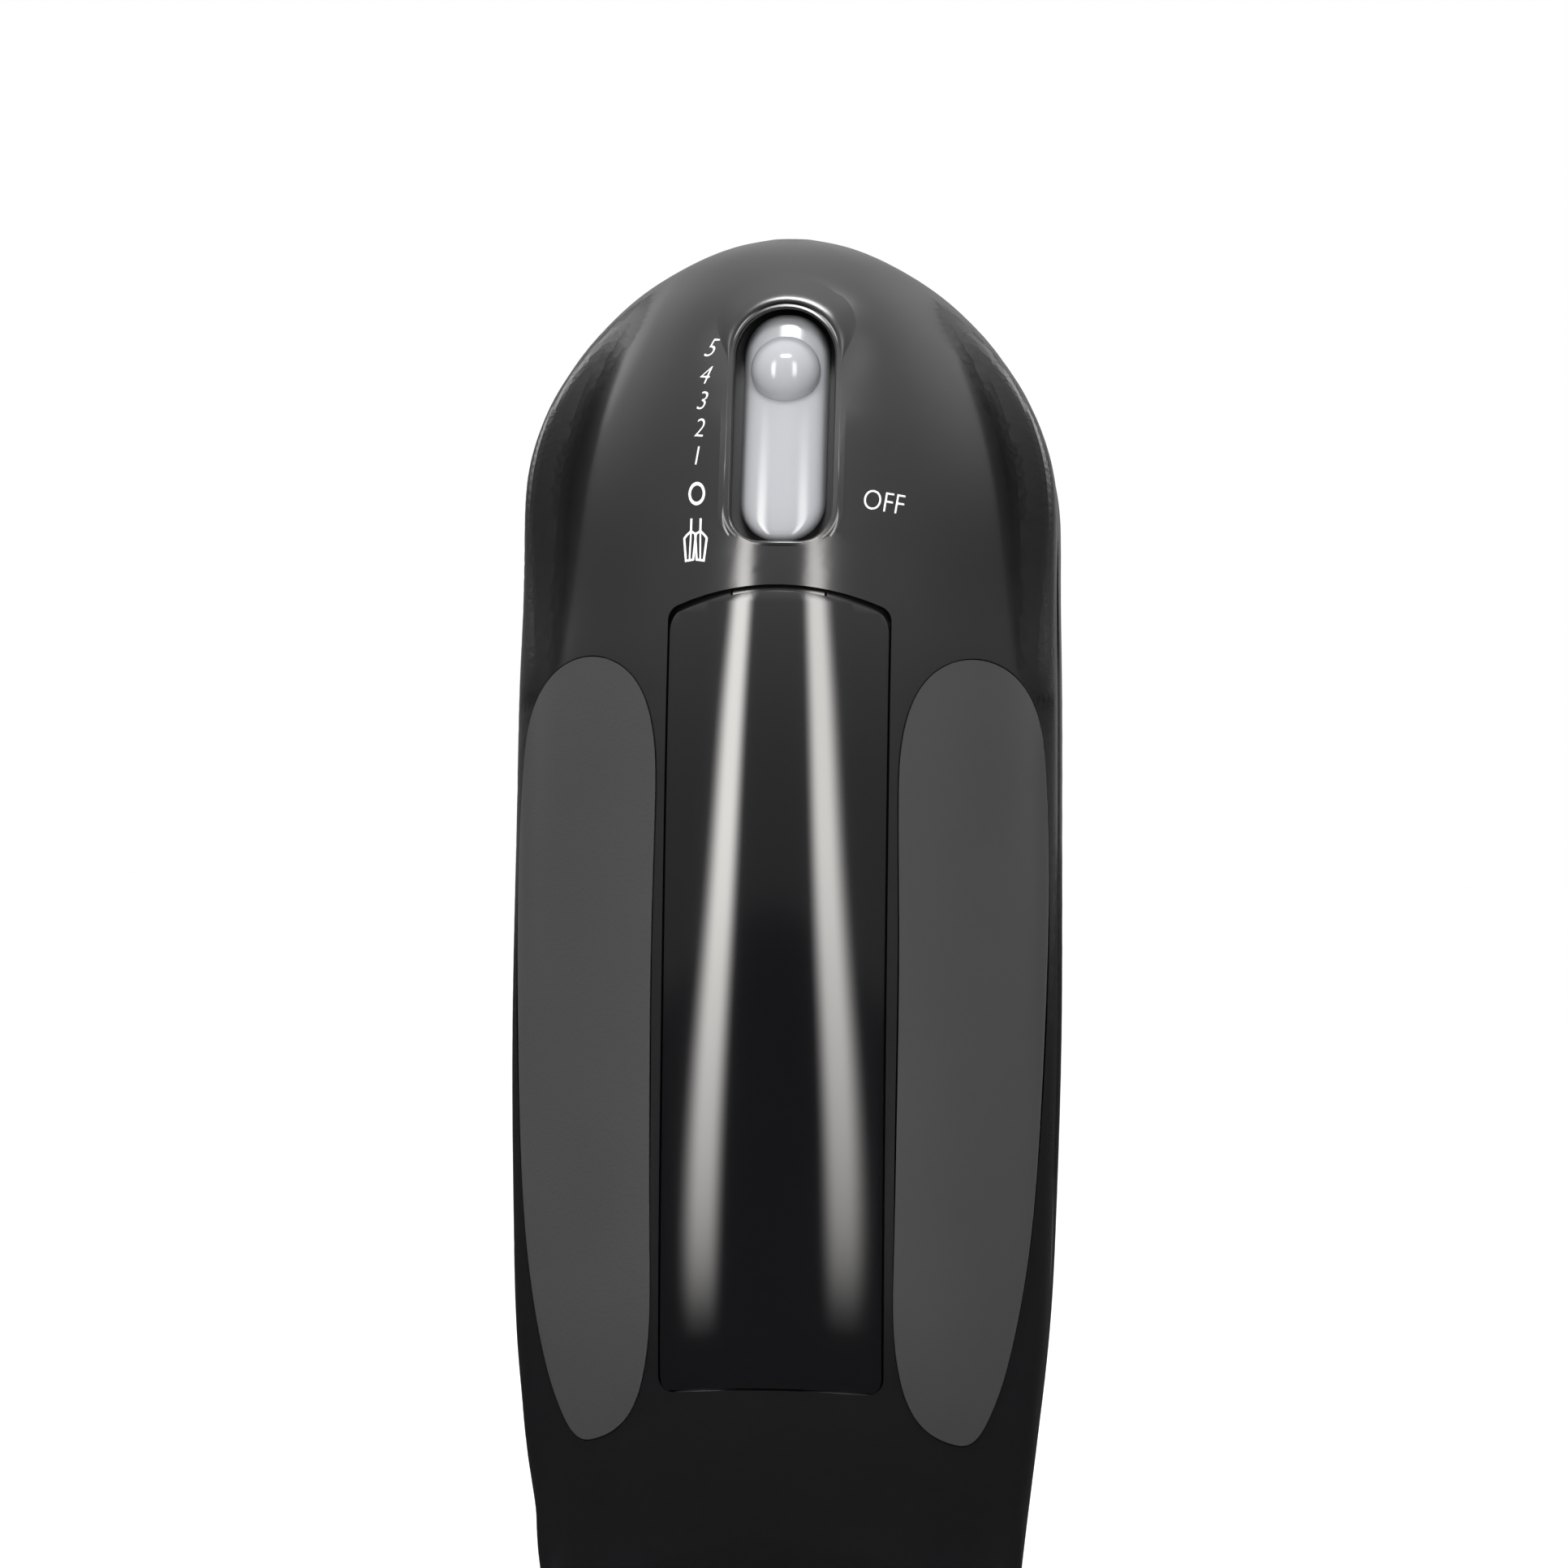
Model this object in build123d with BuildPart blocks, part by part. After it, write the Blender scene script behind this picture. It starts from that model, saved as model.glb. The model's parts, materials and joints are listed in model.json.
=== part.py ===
"""Five-speed electric hand mixer, standing on its heel with both beaters fitted.

Millimetres. The origin is on the heel's flat rubber face. +Z runs from the heel to
the nose, -Y is the side of the handle that meets the palm, and the beaters point to +Y.
"""

import os
from math import asin, cos, degrees, pi, radians, sin, sqrt

from build123d import *

os.makedirs("parts", exist_ok=True)

# ---------------------------------------------------------------- driving dimensions
WALL = 2.4  # housing wall
INLAY = 1.25  # depth of the panel's and the grip pads' recesses
NOSE_Z = 204.0  # the tip of the nose
SEAM = 0.15  # half of the gap at a parting line
TOP_SEAM_Y = -48.0  # parting between the top and the main housing, at the widest line
LOW_SEAM_Y = 28.0  # parting between the main and the lower housing
TRAVEL_RADIUS = 200.0  # the crest over the switch is an arc of this radius
TRACK_Y = 127.7  # centre of that arc
TRACK_Z = 120.0
MOTOR_Y = 28.0  # the armature's axis lies along Z at x = 0
SHAFT_R = 3.0
RUN_CLEARANCE = 0.04  # radial clearance of a shaft in its bush
SPINDLE_Z = 152.0  # both beater spindles
WORM_R = 5.0  # pitch radius
WHEEL_TEETH = 22
WHEEL_R = WHEEL_TEETH / 2  # pitch radius at module 1
SPINDLE_X = WORM_R + WHEEL_R
SLOT_HALF = 7.2
SLOT_REAR_Z = 160.7
SLOT_FRONT_Z = 193.8
BUMP_Z = 184.9  # the thumb bump's place at speed four
PANEL_REAR_Z = 44.4
PANEL_FRONT_Z = 151.6

# z, half width, crest y, underside y, crest radius, flank slope, share of ridge shape
SECTIONS = [
    (1.0, 28.8, -52.0, 51.8, 36.0, 0.90, 0.30),
    (3.2, 31.2, -54.6, 54.4, 36.0, 0.90, 0.35),
    (9.0, 32.4, -57.0, 56.6, 36.0, 0.90, 0.50),
    (22.0, 33.8, -61.0, 59.0, 35.0, 0.90, 0.70),
    (34.0, 35.2, -66.4, 60.6, 34.0, 0.90, 0.90),
    (48.0, 36.6, -70.2, 61.6, 33.0, 0.90, 1.00),
    (66.0, 37.4, -71.7, 62.0, 32.0, 0.88, 1.00),
    (92.0, 37.9, -72.3, 62.0, 28.0, 0.85, 1.00),
    (120.0, 37.7, -72.3, 62.0, 22.0, 0.80, 1.00),
    (145.0, 37.4, -70.7, 62.0, 18.0, 0.76, 1.00),
    (160.0, 37.1, -68.3, 60.6, 16.0, 0.73, 1.00),
    (172.0, 36.5, -65.4, 55.6, 16.0, 0.70, 0.90),
    (181.0, 33.4, -62.8, 47.0, 16.0, 0.66, 0.75),
    (188.0, 28.9, -60.4, 36.5, 15.0, 0.60, 0.55),
    (194.0, 23.3, -58.0, 22.5, 14.0, 0.50, 0.30),
    (198.7, 16.9, -55.5, 4.0, 12.0, 0.50, 0.15),
    (201.8, 10.8, -52.9, -16.0, 10.0, 0.50, 0.00),
    (203.3, 6.0, -50.6, -32.0, 8.0, 0.50, 0.00),
    (203.9, 2.6, -49.4, -41.0, 8.0, 0.50, 0.00),
]
HEEL_Z = SECTIONS[0][0]


def save(part, name):
    """Label a finished sub-part and write its STEP file."""
    part.label = name
    export_step(part, f"parts/{name}.step")
    return part


def motor_plane(z):
    """The plane across the armature's axis at height z."""
    return Plane(origin=(0, MOTOR_Y, z), x_dir=(1, 0, 0), z_dir=(0, 0, 1))


def spindle_plane(x, y):
    """The plane across a beater's axis at depth y, looking along +Y."""
    return Plane(origin=(x, y, SPINDLE_Z), x_dir=(1, 0, 0), z_dir=(0, 1, 0))


def lofted_body(inset):
    """The whole outer form, drawn in by inset: its sections are lofted from heel to nose."""
    with BuildPart() as form:
        for z, half, crest, under, ridge_r, slope, ridge_share in SECTIONS:
            along = (z - HEEL_Z) / (NOSE_Z - HEEL_Z)
            width = max(half - inset, 0.3 * half)
            drop = max(TOP_SEAM_Y - crest - inset, 0.6)
            rise = max(under - inset - TOP_SEAM_Y, 5.0)
            ridge = ridge_r * slope * slope
            upper = []
            for share in (0.2, 0.45, 0.7, 0.88):
                x = share * width
                round_depth = drop * (1 - sqrt(1 - share * share))
                ridge_depth = sqrt(ridge * ridge + (slope * x) ** 2) - ridge
                depth = round_depth + ridge_share * (ridge_depth - round_depth)
                upper.append((x, TOP_SEAM_Y - drop + depth))
            lower = []
            for across, down in ((0.99, 0.22), (0.97, 0.5), (0.91, 0.79), (0.68, 0.955)):
                lower.append((across * width, TOP_SEAM_Y + down * rise))
            top = (0, TOP_SEAM_Y - drop)
            side = (width, TOP_SEAM_Y)
            foot = (0, TOP_SEAM_Y + rise)
            with BuildSketch(Plane.XY.offset(z + inset * (1 - 2 * along))):
                with BuildLine():
                    Spline(top, *upper, side, tangents=[(1, 0), (0, 1)])
                    Spline(side, *lower, foot, tangents=[(0, 1), (-1, 0)])
                    mirror(about=Plane.YZ)
                make_face()
        loft()
    return form.part


# ---------------------------------------------------------------- cutting tools
# The finger opening: a waisted tunnel along X, so that the handle's underside is rounded.
TUNNEL = [  # x, low y, high y, low z, high z, corner radius
    (-42.0, -44.5, 6.0, 52.0, 166.0, 22.0),
    (0.0, -36.0, -6.0, 60.0, 158.0, 14.0),
    (42.0, -44.5, 6.0, 52.0, 166.0, 22.0),
]
TUNNEL_RIM_R = 3.0


def tunnel(grow):
    """The finger opening's solid, grown by grow on every side."""
    with BuildPart() as opening:
        for x, y0, y1, z0, z1, radius in TUNNEL:
            with BuildSketch(Plane.YZ.offset(x)):
                with Locations(((y0 + y1) / 2, (z0 + z1) / 2)):
                    RectangleRounded(y1 - y0 + 2 * grow, z1 - z0 + 2 * grow, radius + grow)
        loft()
    return opening.part


# The slanted rear corner that carries the cord gland.
GLAND_PLANE = Plane(origin=(0, -45.5, 10.25), x_dir=(1, 0, 0), z_dir=(0, -0.64, -0.768))


def corner_wedge(inset):
    """Everything behind the slanted rear corner, drawn in by inset."""
    with BuildPart() as wedge:
        with BuildSketch(GLAND_PLANE.offset(-inset)):
            Rectangle(120, 60)
        extrude(amount=60)
    return wedge.part


def slab(y0, y1):
    """A slab across the whole body between two depths."""
    with BuildPart() as block:
        with BuildSketch(Plane.XZ.offset(-y0)):
            with Locations((0, NOSE_Z / 2)):
                Rectangle(120, 260)
        extrude(amount=y0 - y1)
    return block.part


def track_ring(x0, x1, low_r, high_r, z0, z1):
    """Part of a ring about the switch's track axis, from z0 to z1 at its mean radius."""
    mean = (low_r + high_r) / 2
    start = degrees(asin((z0 - TRACK_Z) / mean))
    turn = degrees(asin((z1 - TRACK_Z) / mean)) - start
    with BuildPart() as ring:
        across = Plane(origin=(0, TRACK_Y, TRACK_Z), x_dir=(1, 0, 0), z_dir=(0, 0, 1))
        with BuildSketch(across.rotated((-start, 0, 0))):
            with Locations(((x0 + x1) / 2, -mean)):
                Rectangle(x1 - x0, high_r - low_r)
        revolve(axis=Axis((0, TRACK_Y, TRACK_Z), (-1, 0, 0)), revolution_arc=turn)
    return ring.part


def slot_prism(grow):
    """The switch slot pushed up through the crest: a half-round front and wide rear corners."""
    z0 = SLOT_REAR_Z - grow
    z1 = SLOT_FRONT_Z + grow
    with BuildPart() as block:
        with BuildSketch(Plane.XZ.offset(45)) as outline:
            with Locations((0, (z0 + z1) / 2)):
                Rectangle(2 * (SLOT_HALF + grow), z1 - z0)
            corners = outline.vertices().group_by(Axis.Y)
            fillet(corners[0], 4.6 + grow)
            corners = outline.vertices().group_by(Axis.Y)
            fillet(corners[-1], SLOT_HALF + grow - 0.05)
        extrude(amount=45)
    return block.part


def panel_prism(shrink, front_gap=0.0):
    """The inlay panel's outline pushed up: arched at the front, a little wider at the rear."""
    front = PANEL_FRONT_Z - shrink - front_gap
    rear = PANEL_REAR_Z + shrink
    left_front = (shrink - 15.35, front)
    right_front = (15.35 - shrink, front)
    right_rear = (15.45 - shrink, rear)
    left_rear = (shrink - 15.45, rear)
    with BuildPart() as block:
        with BuildSketch(Plane.XZ.offset(45)) as outline:
            with BuildLine():
                ThreePointArc(left_front, (0, front + 3.4), right_front)
                Line(right_front, right_rear)
                ThreePointArc(right_rear, (0, rear + 0.9), left_rear)
                Line(left_rear, left_front)
            make_face()
            fillet(outline.vertices(), 2.2)
        extrude(amount=45)
    return block.part


# A grip pad's outline on the right-hand side, as x, z from its rear tip round the inner edge.
PAD_INNER = [
    (25.4, 37.2),
    (20.2, 40.4),
    (17.4, 47.6),
    (16.6, 62.0),
    (16.7, 84.0),
    (16.8, 108.0),
    (16.6, 126.0),
    (17.6, 137.0),
    (20.9, 143.2),
]
PAD_OUTER = [
    (26.2, 145.4),
    (31.2, 143.8),
    (34.6, 139.2),
    (36.3, 130.0),
    (36.9, 116.0),
    (36.8, 96.0),
    (36.0, 78.0),
    (34.6, 62.0),
    (32.2, 49.0),
    (29.6, 41.0),
]


def pad_prism(shrink):
    """One grip pad's outline pushed up: a long leaf that reaches over the shoulder."""
    middle = Vector(28.0, 92.0)
    points = []
    for x, z in PAD_INNER + PAD_OUTER:
        arm = Vector(x, z) - middle
        squeeze = shrink * (2.2 if abs(arm.Y) < 35 else 1.2)
        points.append(middle + arm * (1 - squeeze / arm.length))
    with BuildPart() as block:
        with BuildSketch(Plane.XZ.offset(1.0 - TOP_SEAM_Y)):
            with BuildLine():
                Spline(*points, periodic=True)
            make_face()
        extrude(amount=45)
    return block.part


# ---------------------------------------------------------------- housing
outer = lofted_body(0.0)
recess_floor = lofted_body(INLAY)
inner = lofted_body(WALL)
pad_top = lofted_body(-0.3)

with BuildPart() as shell:
    add(outer)
    add(tunnel(0.0), mode=Mode.SUBTRACT)
    add(corner_wedge(0.0), mode=Mode.SUBTRACT)
    curved = shell.edges().filter_by(GeomType.BSPLINE)
    beside = curved.filter_by(lambda edge: abs(edge.center().X) > 28 and edge.center().Y < 12)
    fillet(beside.filter_by(lambda edge: -50 < edge.center().Y and 45 < edge.center().Z < 172), TUNNEL_RIM_R)

with BuildPart() as cavity:
    add(inner)
    add(tunnel(WALL), mode=Mode.SUBTRACT)
    add(corner_wedge(WALL), mode=Mode.SUBTRACT)

# screws: x, z of the four that hold the lower housing, and z of the two in the handle
BOSSES = [(-24.0, 15.0), (24.0, 15.0), (-26.0, 126.8), (26.0, 126.8)]
BOSS_R = 3.8
SCREW_R = 1.5
HANDLE_SCREW_Z = (84.0, 134.0)
CEILING_Y = TUNNEL[1][1]

with BuildPart() as posts:
    for x, z in BOSSES:
        with BuildSketch(Plane.XZ.offset(-8.0)):
            with Locations((x, z)):
                Circle(BOSS_R)
            with Locations((x * 1.2, z)):
                Rectangle(abs(x) * 0.4, 1.6)
        extrude(amount=-56.0)
    for z in HANDLE_SCREW_Z:
        with BuildSketch(Plane.XZ.offset(-CEILING_Y + 1.0)):
            with Locations((0, z)):
                Circle(BOSS_R + 1.2)
        extrude(amount=36.0)

with BuildPart() as post_fill:
    add(posts.part)
    add(cavity.part, mode=Mode.INTERSECT)

# every screw hole: shank holes, and counterbores that leave 2.4 mm under the head
HEAD_R = 3.1
LOW_HEAD_Y = 45.0
HANDLE_HEAD_Y = -41.0
with BuildPart() as screw_holes:
    for x, z in BOSSES:
        with BuildSketch(Plane.XZ.offset(-12.0)):
            with Locations((x, z)):
                Circle(SCREW_R)
        extrude(amount=-50.0)
        with BuildSketch(Plane.XZ.offset(-LOW_HEAD_Y)):
            with Locations((x, z)):
                Circle(HEAD_R + 0.3)
        extrude(amount=-14.0)
    for z in HANDLE_SCREW_Z:
        with BuildSketch(Plane.XZ.offset(-HANDLE_HEAD_Y)):
            with Locations((0, z)):
                Circle(SCREW_R)
        extrude(amount=20.0)
        with BuildSketch(Plane.XZ.offset(-CEILING_Y - 3.0)):
            with Locations((0, z)):
                Circle(HEAD_R + 0.3)
        extrude(amount=8.0)

with BuildPart() as gland_hole:
    with BuildSketch(GLAND_PLANE.offset(6)):
        Circle(6.5)
    extrude(amount=-12)

HEEL_PAD_Y = 9.0
HEEL_PAD = (44.0, 76.0, 9.0)
with BuildPart() as heel_pocket:
    with BuildSketch(Plane.XY):
        with Locations((0, HEEL_PAD_Y)):
            RectangleRounded(HEEL_PAD[0] + 0.2, HEEL_PAD[1] + 0.2, HEEL_PAD[2])
    extrude(amount=2.0)


CHANNEL_R = TRAVEL_RADIUS - WALL  # the slider runs just under the shell's inner face
with BuildPart() as top_housing:
    add(shell.part)
    add(cavity.part, mode=Mode.SUBTRACT)
    add(post_fill.part)
    add(slab(-90.0, TOP_SEAM_Y - SEAM), mode=Mode.INTERSECT)
    add(slot_prism(1.4) & track_ring(-12, 12, CHANNEL_R - 4, CHANNEL_R + 0.8, 156, 197))
    add(slot_prism(0.0), mode=Mode.SUBTRACT)
    add(track_ring(-6.6, 6.6, CHANNEL_R - 14, CHANNEL_R, 138, 197.6), mode=Mode.SUBTRACT)
    add(panel_prism(0.0) - recess_floor, mode=Mode.SUBTRACT)
    add(pad_prism(0.0) - recess_floor, mode=Mode.SUBTRACT)
    add(mirror(pad_prism(0.0) - recess_floor, about=Plane.YZ, mode=Mode.PRIVATE), mode=Mode.SUBTRACT)
    add(screw_holes.part, mode=Mode.SUBTRACT)
    add(gland_hole.part, mode=Mode.SUBTRACT)
save(top_housing.part, "top_housing")

# ribs that hold the motor's stator between the two lower housings
STATOR = (50.0, 44.0)
STATOR_Z = (70.0, 100.0)
with BuildPart() as ribs:
    for z in (STATOR_Z[0] + 5, STATOR_Z[1] - 7):
        with BuildSketch(Plane.XY.offset(z)):
            with Locations((0, MOTOR_Y - STATOR[1] / 2 - 20.05), (0, MOTOR_Y + STATOR[1] / 2 + 20.05)):
                Rectangle(34, 40)
        extrude(amount=2.0)
    add(cavity.part, mode=Mode.INTERSECT)

with BuildPart() as main_housing:
    add(shell.part)
    add(cavity.part, mode=Mode.SUBTRACT)
    add(post_fill.part)
    add(ribs.part)
    add(slab(TOP_SEAM_Y + SEAM, LOW_SEAM_Y - SEAM), mode=Mode.INTERSECT)
    add(screw_holes.part, mode=Mode.SUBTRACT)
    add(gland_hole.part, mode=Mode.SUBTRACT)
    add(heel_pocket.part, mode=Mode.SUBTRACT)
save(main_housing.part, "main_housing")

SOCKET_X = (-SPINDLE_X, SPINDLE_X)
SOCKET_Y = 63.0
VENT_Z = 45.0
EXHAUST_Z = 112.5
with BuildPart() as lower_housing:
    add(shell.part)
    add(cavity.part, mode=Mode.SUBTRACT)
    add(post_fill.part)
    add(ribs.part)
    add(slab(LOW_SEAM_Y + SEAM, 90.0), mode=Mode.INTERSECT)
    for x in SOCKET_X:
        with BuildSketch(spindle_plane(x, 52.5)):
            Circle(10.0)
        extrude(amount=SOCKET_Y - 52.5)
    for x in SOCKET_X:
        with BuildSketch(spindle_plane(x, 40.0)):
            Circle(7.2)
        extrude(amount=30.0, mode=Mode.SUBTRACT)
    with BuildSketch(Plane.XZ.offset(-70.0)):  # the air intake behind the motor
        with Locations((0, VENT_Z)):
            with GridLocations(0, 5.0, 1, 7):
                SlotOverall(30.0, 2.2)
    extrude(amount=20.0, mode=Mode.SUBTRACT)
    with BuildSketch(Plane.YZ.offset(-45.0)):  # the exhaust slots beside the fan
        with Locations((39.0, EXHAUST_Z - 8.0)):
            with GridLocations(4.6, 0, 4, 1):
                SlotOverall(16.0, 2.0, rotation=90)
    extrude(amount=90.0, mode=Mode.SUBTRACT)
    add(screw_holes.part, mode=Mode.SUBTRACT)
    add(heel_pocket.part, mode=Mode.SUBTRACT)
save(lower_housing.part, "lower_housing")

with BuildPart() as top_panel:
    add(panel_prism(0.3, 0.6))
    add(outer, mode=Mode.INTERSECT)
    add(recess_floor, mode=Mode.SUBTRACT)
save(top_panel.part, "top_panel")

with BuildPart() as right_grip_pad:
    add(pad_prism(0.15))
    add(pad_top, mode=Mode.INTERSECT)
    add(recess_floor, mode=Mode.SUBTRACT)
save(right_grip_pad.part, "right_grip_pad")

with BuildPart() as left_grip_pad:
    mirror(right_grip_pad.part, about=Plane.YZ)
save(left_grip_pad.part, "left_grip_pad")

with BuildPart() as heel_pad:
    with BuildSketch(Plane.XY):
        with Locations((0, HEEL_PAD_Y)):
            RectangleRounded(*HEEL_PAD)
    extrude(amount=2.0)
save(heel_pad.part, "heel_pad")

CORD_R = 3.6
with BuildPart() as cord_gland:
    with BuildSketch(GLAND_PLANE.offset(-WALL - 2.2)):
        Circle(8.4)
    extrude(amount=2.0)
    with BuildSketch(GLAND_PLANE.offset(-WALL - 0.2)):
        Circle(6.4)
    extrude(amount=WALL + 0.2)
    with BuildSketch(GLAND_PLANE):
        Circle(8.4)
    extrude(amount=2.4)
    fillet(cord_gland.faces().sort_by(Axis((0, 0, 0), (0, -0.64, -0.768)))[-1].edges(), 1.2)
    with BuildSketch(GLAND_PLANE.offset(-WALL - 2.2)):
        Circle(CORD_R)
    extrude(amount=WALL + 5.0, mode=Mode.SUBTRACT)
save(cord_gland.part, "cord_gland")


def pan_head_screw(base, shank, radius, head_r, head):
    """A cross-recessed screw: its head stands on base and its shank runs back from it."""
    with BuildPart() as screw:
        with BuildSketch(base):
            Circle(head_r)
        extrude(amount=head)
        fillet(screw.edges().filter_by(GeomType.CIRCLE).sort_by(Axis(base.origin, base.z_dir))[-1], 0.7)
        with BuildSketch(base):
            Circle(radius)
        extrude(amount=-shank)
        with BuildSketch(base.offset(head - 1.2)):
            Rectangle(3.6, 0.8)
            Rectangle(0.8, 3.6)
        extrude(amount=2.0, mode=Mode.SUBTRACT)
    return screw.part


def hole_plane(x, y, z, outward):
    """A plane at a screw's seat, facing +Y or -Y."""
    return Plane(origin=(x, y, z), x_dir=(1, 0, 0), z_dir=(0, outward, 0))


with BuildPart() as housing_screws:
    for x, z in BOSSES:
        add(pan_head_screw(hole_plane(x, LOW_HEAD_Y, z, 1), 33.0, SCREW_R, HEAD_R, 2.2))
save(housing_screws.part, "housing_screws")

with BuildPart() as handle_screws:
    for z in HANDLE_SCREW_Z:
        add(pan_head_screw(hole_plane(0, HANDLE_HEAD_Y, z, 1), 18.0, SCREW_R, HEAD_R, 2.2))
save(handle_screws.part, "handle_screws")

# ---------------------------------------------------------------- motor, on the body
BORE_R = 13.3
COIL_R = (14.0, 19.4)
BOLT_AT = [(20.3, 17.3), (-20.3, -17.3)]  # diagonal corners, from the armature's axis
REAR_PLATE_Z = 43.5
FRONT_PLATE_Z = 119.5
PLATE = 2.6


def ring_sector(r_in, r_out, start, size):
    """A sector of a ring about the sketch's origin."""
    with BuildSketch() as sector:
        with BuildLine():
            low = CenterArc((0, 0), r_in, start, size)
            high = CenterArc((0, 0), r_out, start, size)
            Line(low @ 0, high @ 0)
            Line(low @ 1, high @ 1)
        make_face()
    return sector.sketch


with BuildPart() as stator_core:
    with BuildSketch(motor_plane(STATOR_Z[0])):
        RectangleRounded(*STATOR, 6.0)
        Circle(BORE_R, mode=Mode.SUBTRACT)
        with Locations(BOLT_AT[0], BOLT_AT[1]):
            Circle(1.6, mode=Mode.SUBTRACT)
    extrude(amount=STATOR_Z[1] - STATOR_Z[0])
    for start in (-42, 138):
        with BuildSketch(motor_plane(STATOR_Z[0])):
            add(ring_sector(BORE_R - 0.3, COIL_R[1] + 0.6, start, 84))
        extrude(amount=STATOR_Z[1] - STATOR_Z[0], mode=Mode.SUBTRACT)
save(stator_core.part, "stator_core")

with BuildPart() as field_coils:
    for turn in (0, 180):
        for start in (5 + turn, 143 + turn):
            with BuildSketch(motor_plane(STATOR_Z[0] - 0.3)):
                add(ring_sector(*COIL_R, start, 32))
            extrude(amount=STATOR_Z[1] - STATOR_Z[0] + 0.6)
        for z in (STATOR_Z[0] - 6.0, STATOR_Z[1] + 0.3):
            with BuildSketch(motor_plane(z)):
                add(ring_sector(*COIL_R, 5 + turn, 170))
            extrude(amount=5.7)
save(field_coils.part, "field_coils")

BEARING_R = 7.0
with BuildPart() as rear_motor_bracket:
    with BuildSketch(motor_plane(REAR_PLATE_Z)):
        RectangleRounded(*STATOR, 6.0)
        with PolarLocations(15.5, 4, start_angle=45):
            Circle(4.5, mode=Mode.SUBTRACT)
        Circle(BEARING_R, mode=Mode.SUBTRACT)
        with Locations(BOLT_AT[0], BOLT_AT[1]):
            Circle(1.6, mode=Mode.SUBTRACT)
    extrude(amount=PLATE)
    with BuildSketch(motor_plane(REAR_PLATE_Z - 5.0)):
        Circle(9.4)
        Circle(BEARING_R, mode=Mode.SUBTRACT)
    extrude(amount=5.0)
    with BuildSketch(motor_plane(REAR_PLATE_Z + PLATE)):
        with Locations(BOLT_AT[0], BOLT_AT[1]):
            Circle(3.6)
            Circle(1.6, mode=Mode.SUBTRACT)
    extrude(amount=STATOR_Z[0] - REAR_PLATE_Z - PLATE)
    with BuildSketch(motor_plane(REAR_PLATE_Z + PLATE)):
        with Locations((-17.0, 0), (17.0, 0)):
            Rectangle(9.0, 8.0)
    extrude(amount=5.9)
save(rear_motor_bracket.part, "rear_motor_bracket")

with BuildPart() as front_motor_bracket:
    with BuildSketch(motor_plane(FRONT_PLATE_Z)):
        RectangleRounded(*STATOR, 6.0)
        with PolarLocations(15.5, 4, start_angle=45):
            Circle(4.8, mode=Mode.SUBTRACT)
        Circle(BEARING_R, mode=Mode.SUBTRACT)
        with Locations(BOLT_AT[0], BOLT_AT[1]):
            Circle(1.6, mode=Mode.SUBTRACT)
    extrude(amount=PLATE)
    with BuildSketch(motor_plane(FRONT_PLATE_Z + PLATE)):
        Circle(9.4)
        Circle(BEARING_R, mode=Mode.SUBTRACT)
    extrude(amount=4.4)
    with BuildSketch(motor_plane(STATOR_Z[1])):
        with Locations(BOLT_AT[0], BOLT_AT[1]):
            Circle(3.2)
            Circle(1.6, mode=Mode.SUBTRACT)
    extrude(amount=FRONT_PLATE_Z - STATOR_Z[1])
save(front_motor_bracket.part, "front_motor_bracket")

with BuildPart() as motor_bolts:
    for x, y in BOLT_AT:
        seat = Plane(origin=(x, MOTOR_Y + y, REAR_PLATE_Z), x_dir=(1, 0, 0), z_dir=(0, 0, -1))
        add(pan_head_screw(seat, FRONT_PLATE_Z + PLATE - REAR_PLATE_Z + 1.0, 1.6, 3.0, 2.2))
save(motor_bolts.part, "motor_bolts")


def bush(name, plane, inside, outside, length):
    """A plain bearing bush whose first face lies on plane."""
    with BuildPart() as sleeve:
        with BuildSketch(plane):
            Circle(outside)
            Circle(inside, mode=Mode.SUBTRACT)
        extrude(amount=length)
        chamfer(sleeve.edges().filter_by(GeomType.CIRCLE), 0.3)
    return save(sleeve.part, name)


bush("rear_motor_bush", motor_plane(REAR_PLATE_Z - 4.5), SHAFT_R + RUN_CLEARANCE, BEARING_R, 7.0)
bush("front_motor_bush", motor_plane(FRONT_PLATE_Z), SHAFT_R + RUN_CLEARANCE, BEARING_R, 7.0)

COMMUTATOR_R = 8.5
BRUSH_Z = 56.5
BRUSH = (5.4, 6.4)  # across Y and Z
HOLDER_X = (10.0, 25.0)
with BuildPart() as brush_holders:
    for hand in (-1, 1):
        guide = Plane(origin=(hand * HOLDER_X[0], MOTOR_Y, BRUSH_Z), x_dir=(0, 1, 0), z_dir=(hand, 0, 0))
        with BuildSketch(guide):
            Rectangle(BRUSH[0] + 2.8, BRUSH[1] + 2.6)
        extrude(amount=HOLDER_X[1] - HOLDER_X[0])
        with BuildSketch(guide):
            Rectangle(BRUSH[0] + 0.2, BRUSH[1] + 0.2)
        extrude(amount=HOLDER_X[1] - HOLDER_X[0] - 1.2, mode=Mode.SUBTRACT)
save(brush_holders.part, "brush_holders")

with BuildPart() as carbon_brushes:
    for hand in (-1, 1):
        guide = Plane(origin=(0, MOTOR_Y, BRUSH_Z), x_dir=(0, 1, 0), z_dir=(hand, 0, 0))
        with BuildSketch(guide.offset(7.0)):
            Rectangle(*BRUSH)
        extrude(amount=10.0)
    with BuildSketch(motor_plane(BRUSH_Z - 10)):
        Circle(COMMUTATOR_R + RUN_CLEARANCE)
    extrude(amount=20, mode=Mode.SUBTRACT)
save(carbon_brushes.part, "carbon_brushes")


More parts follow.
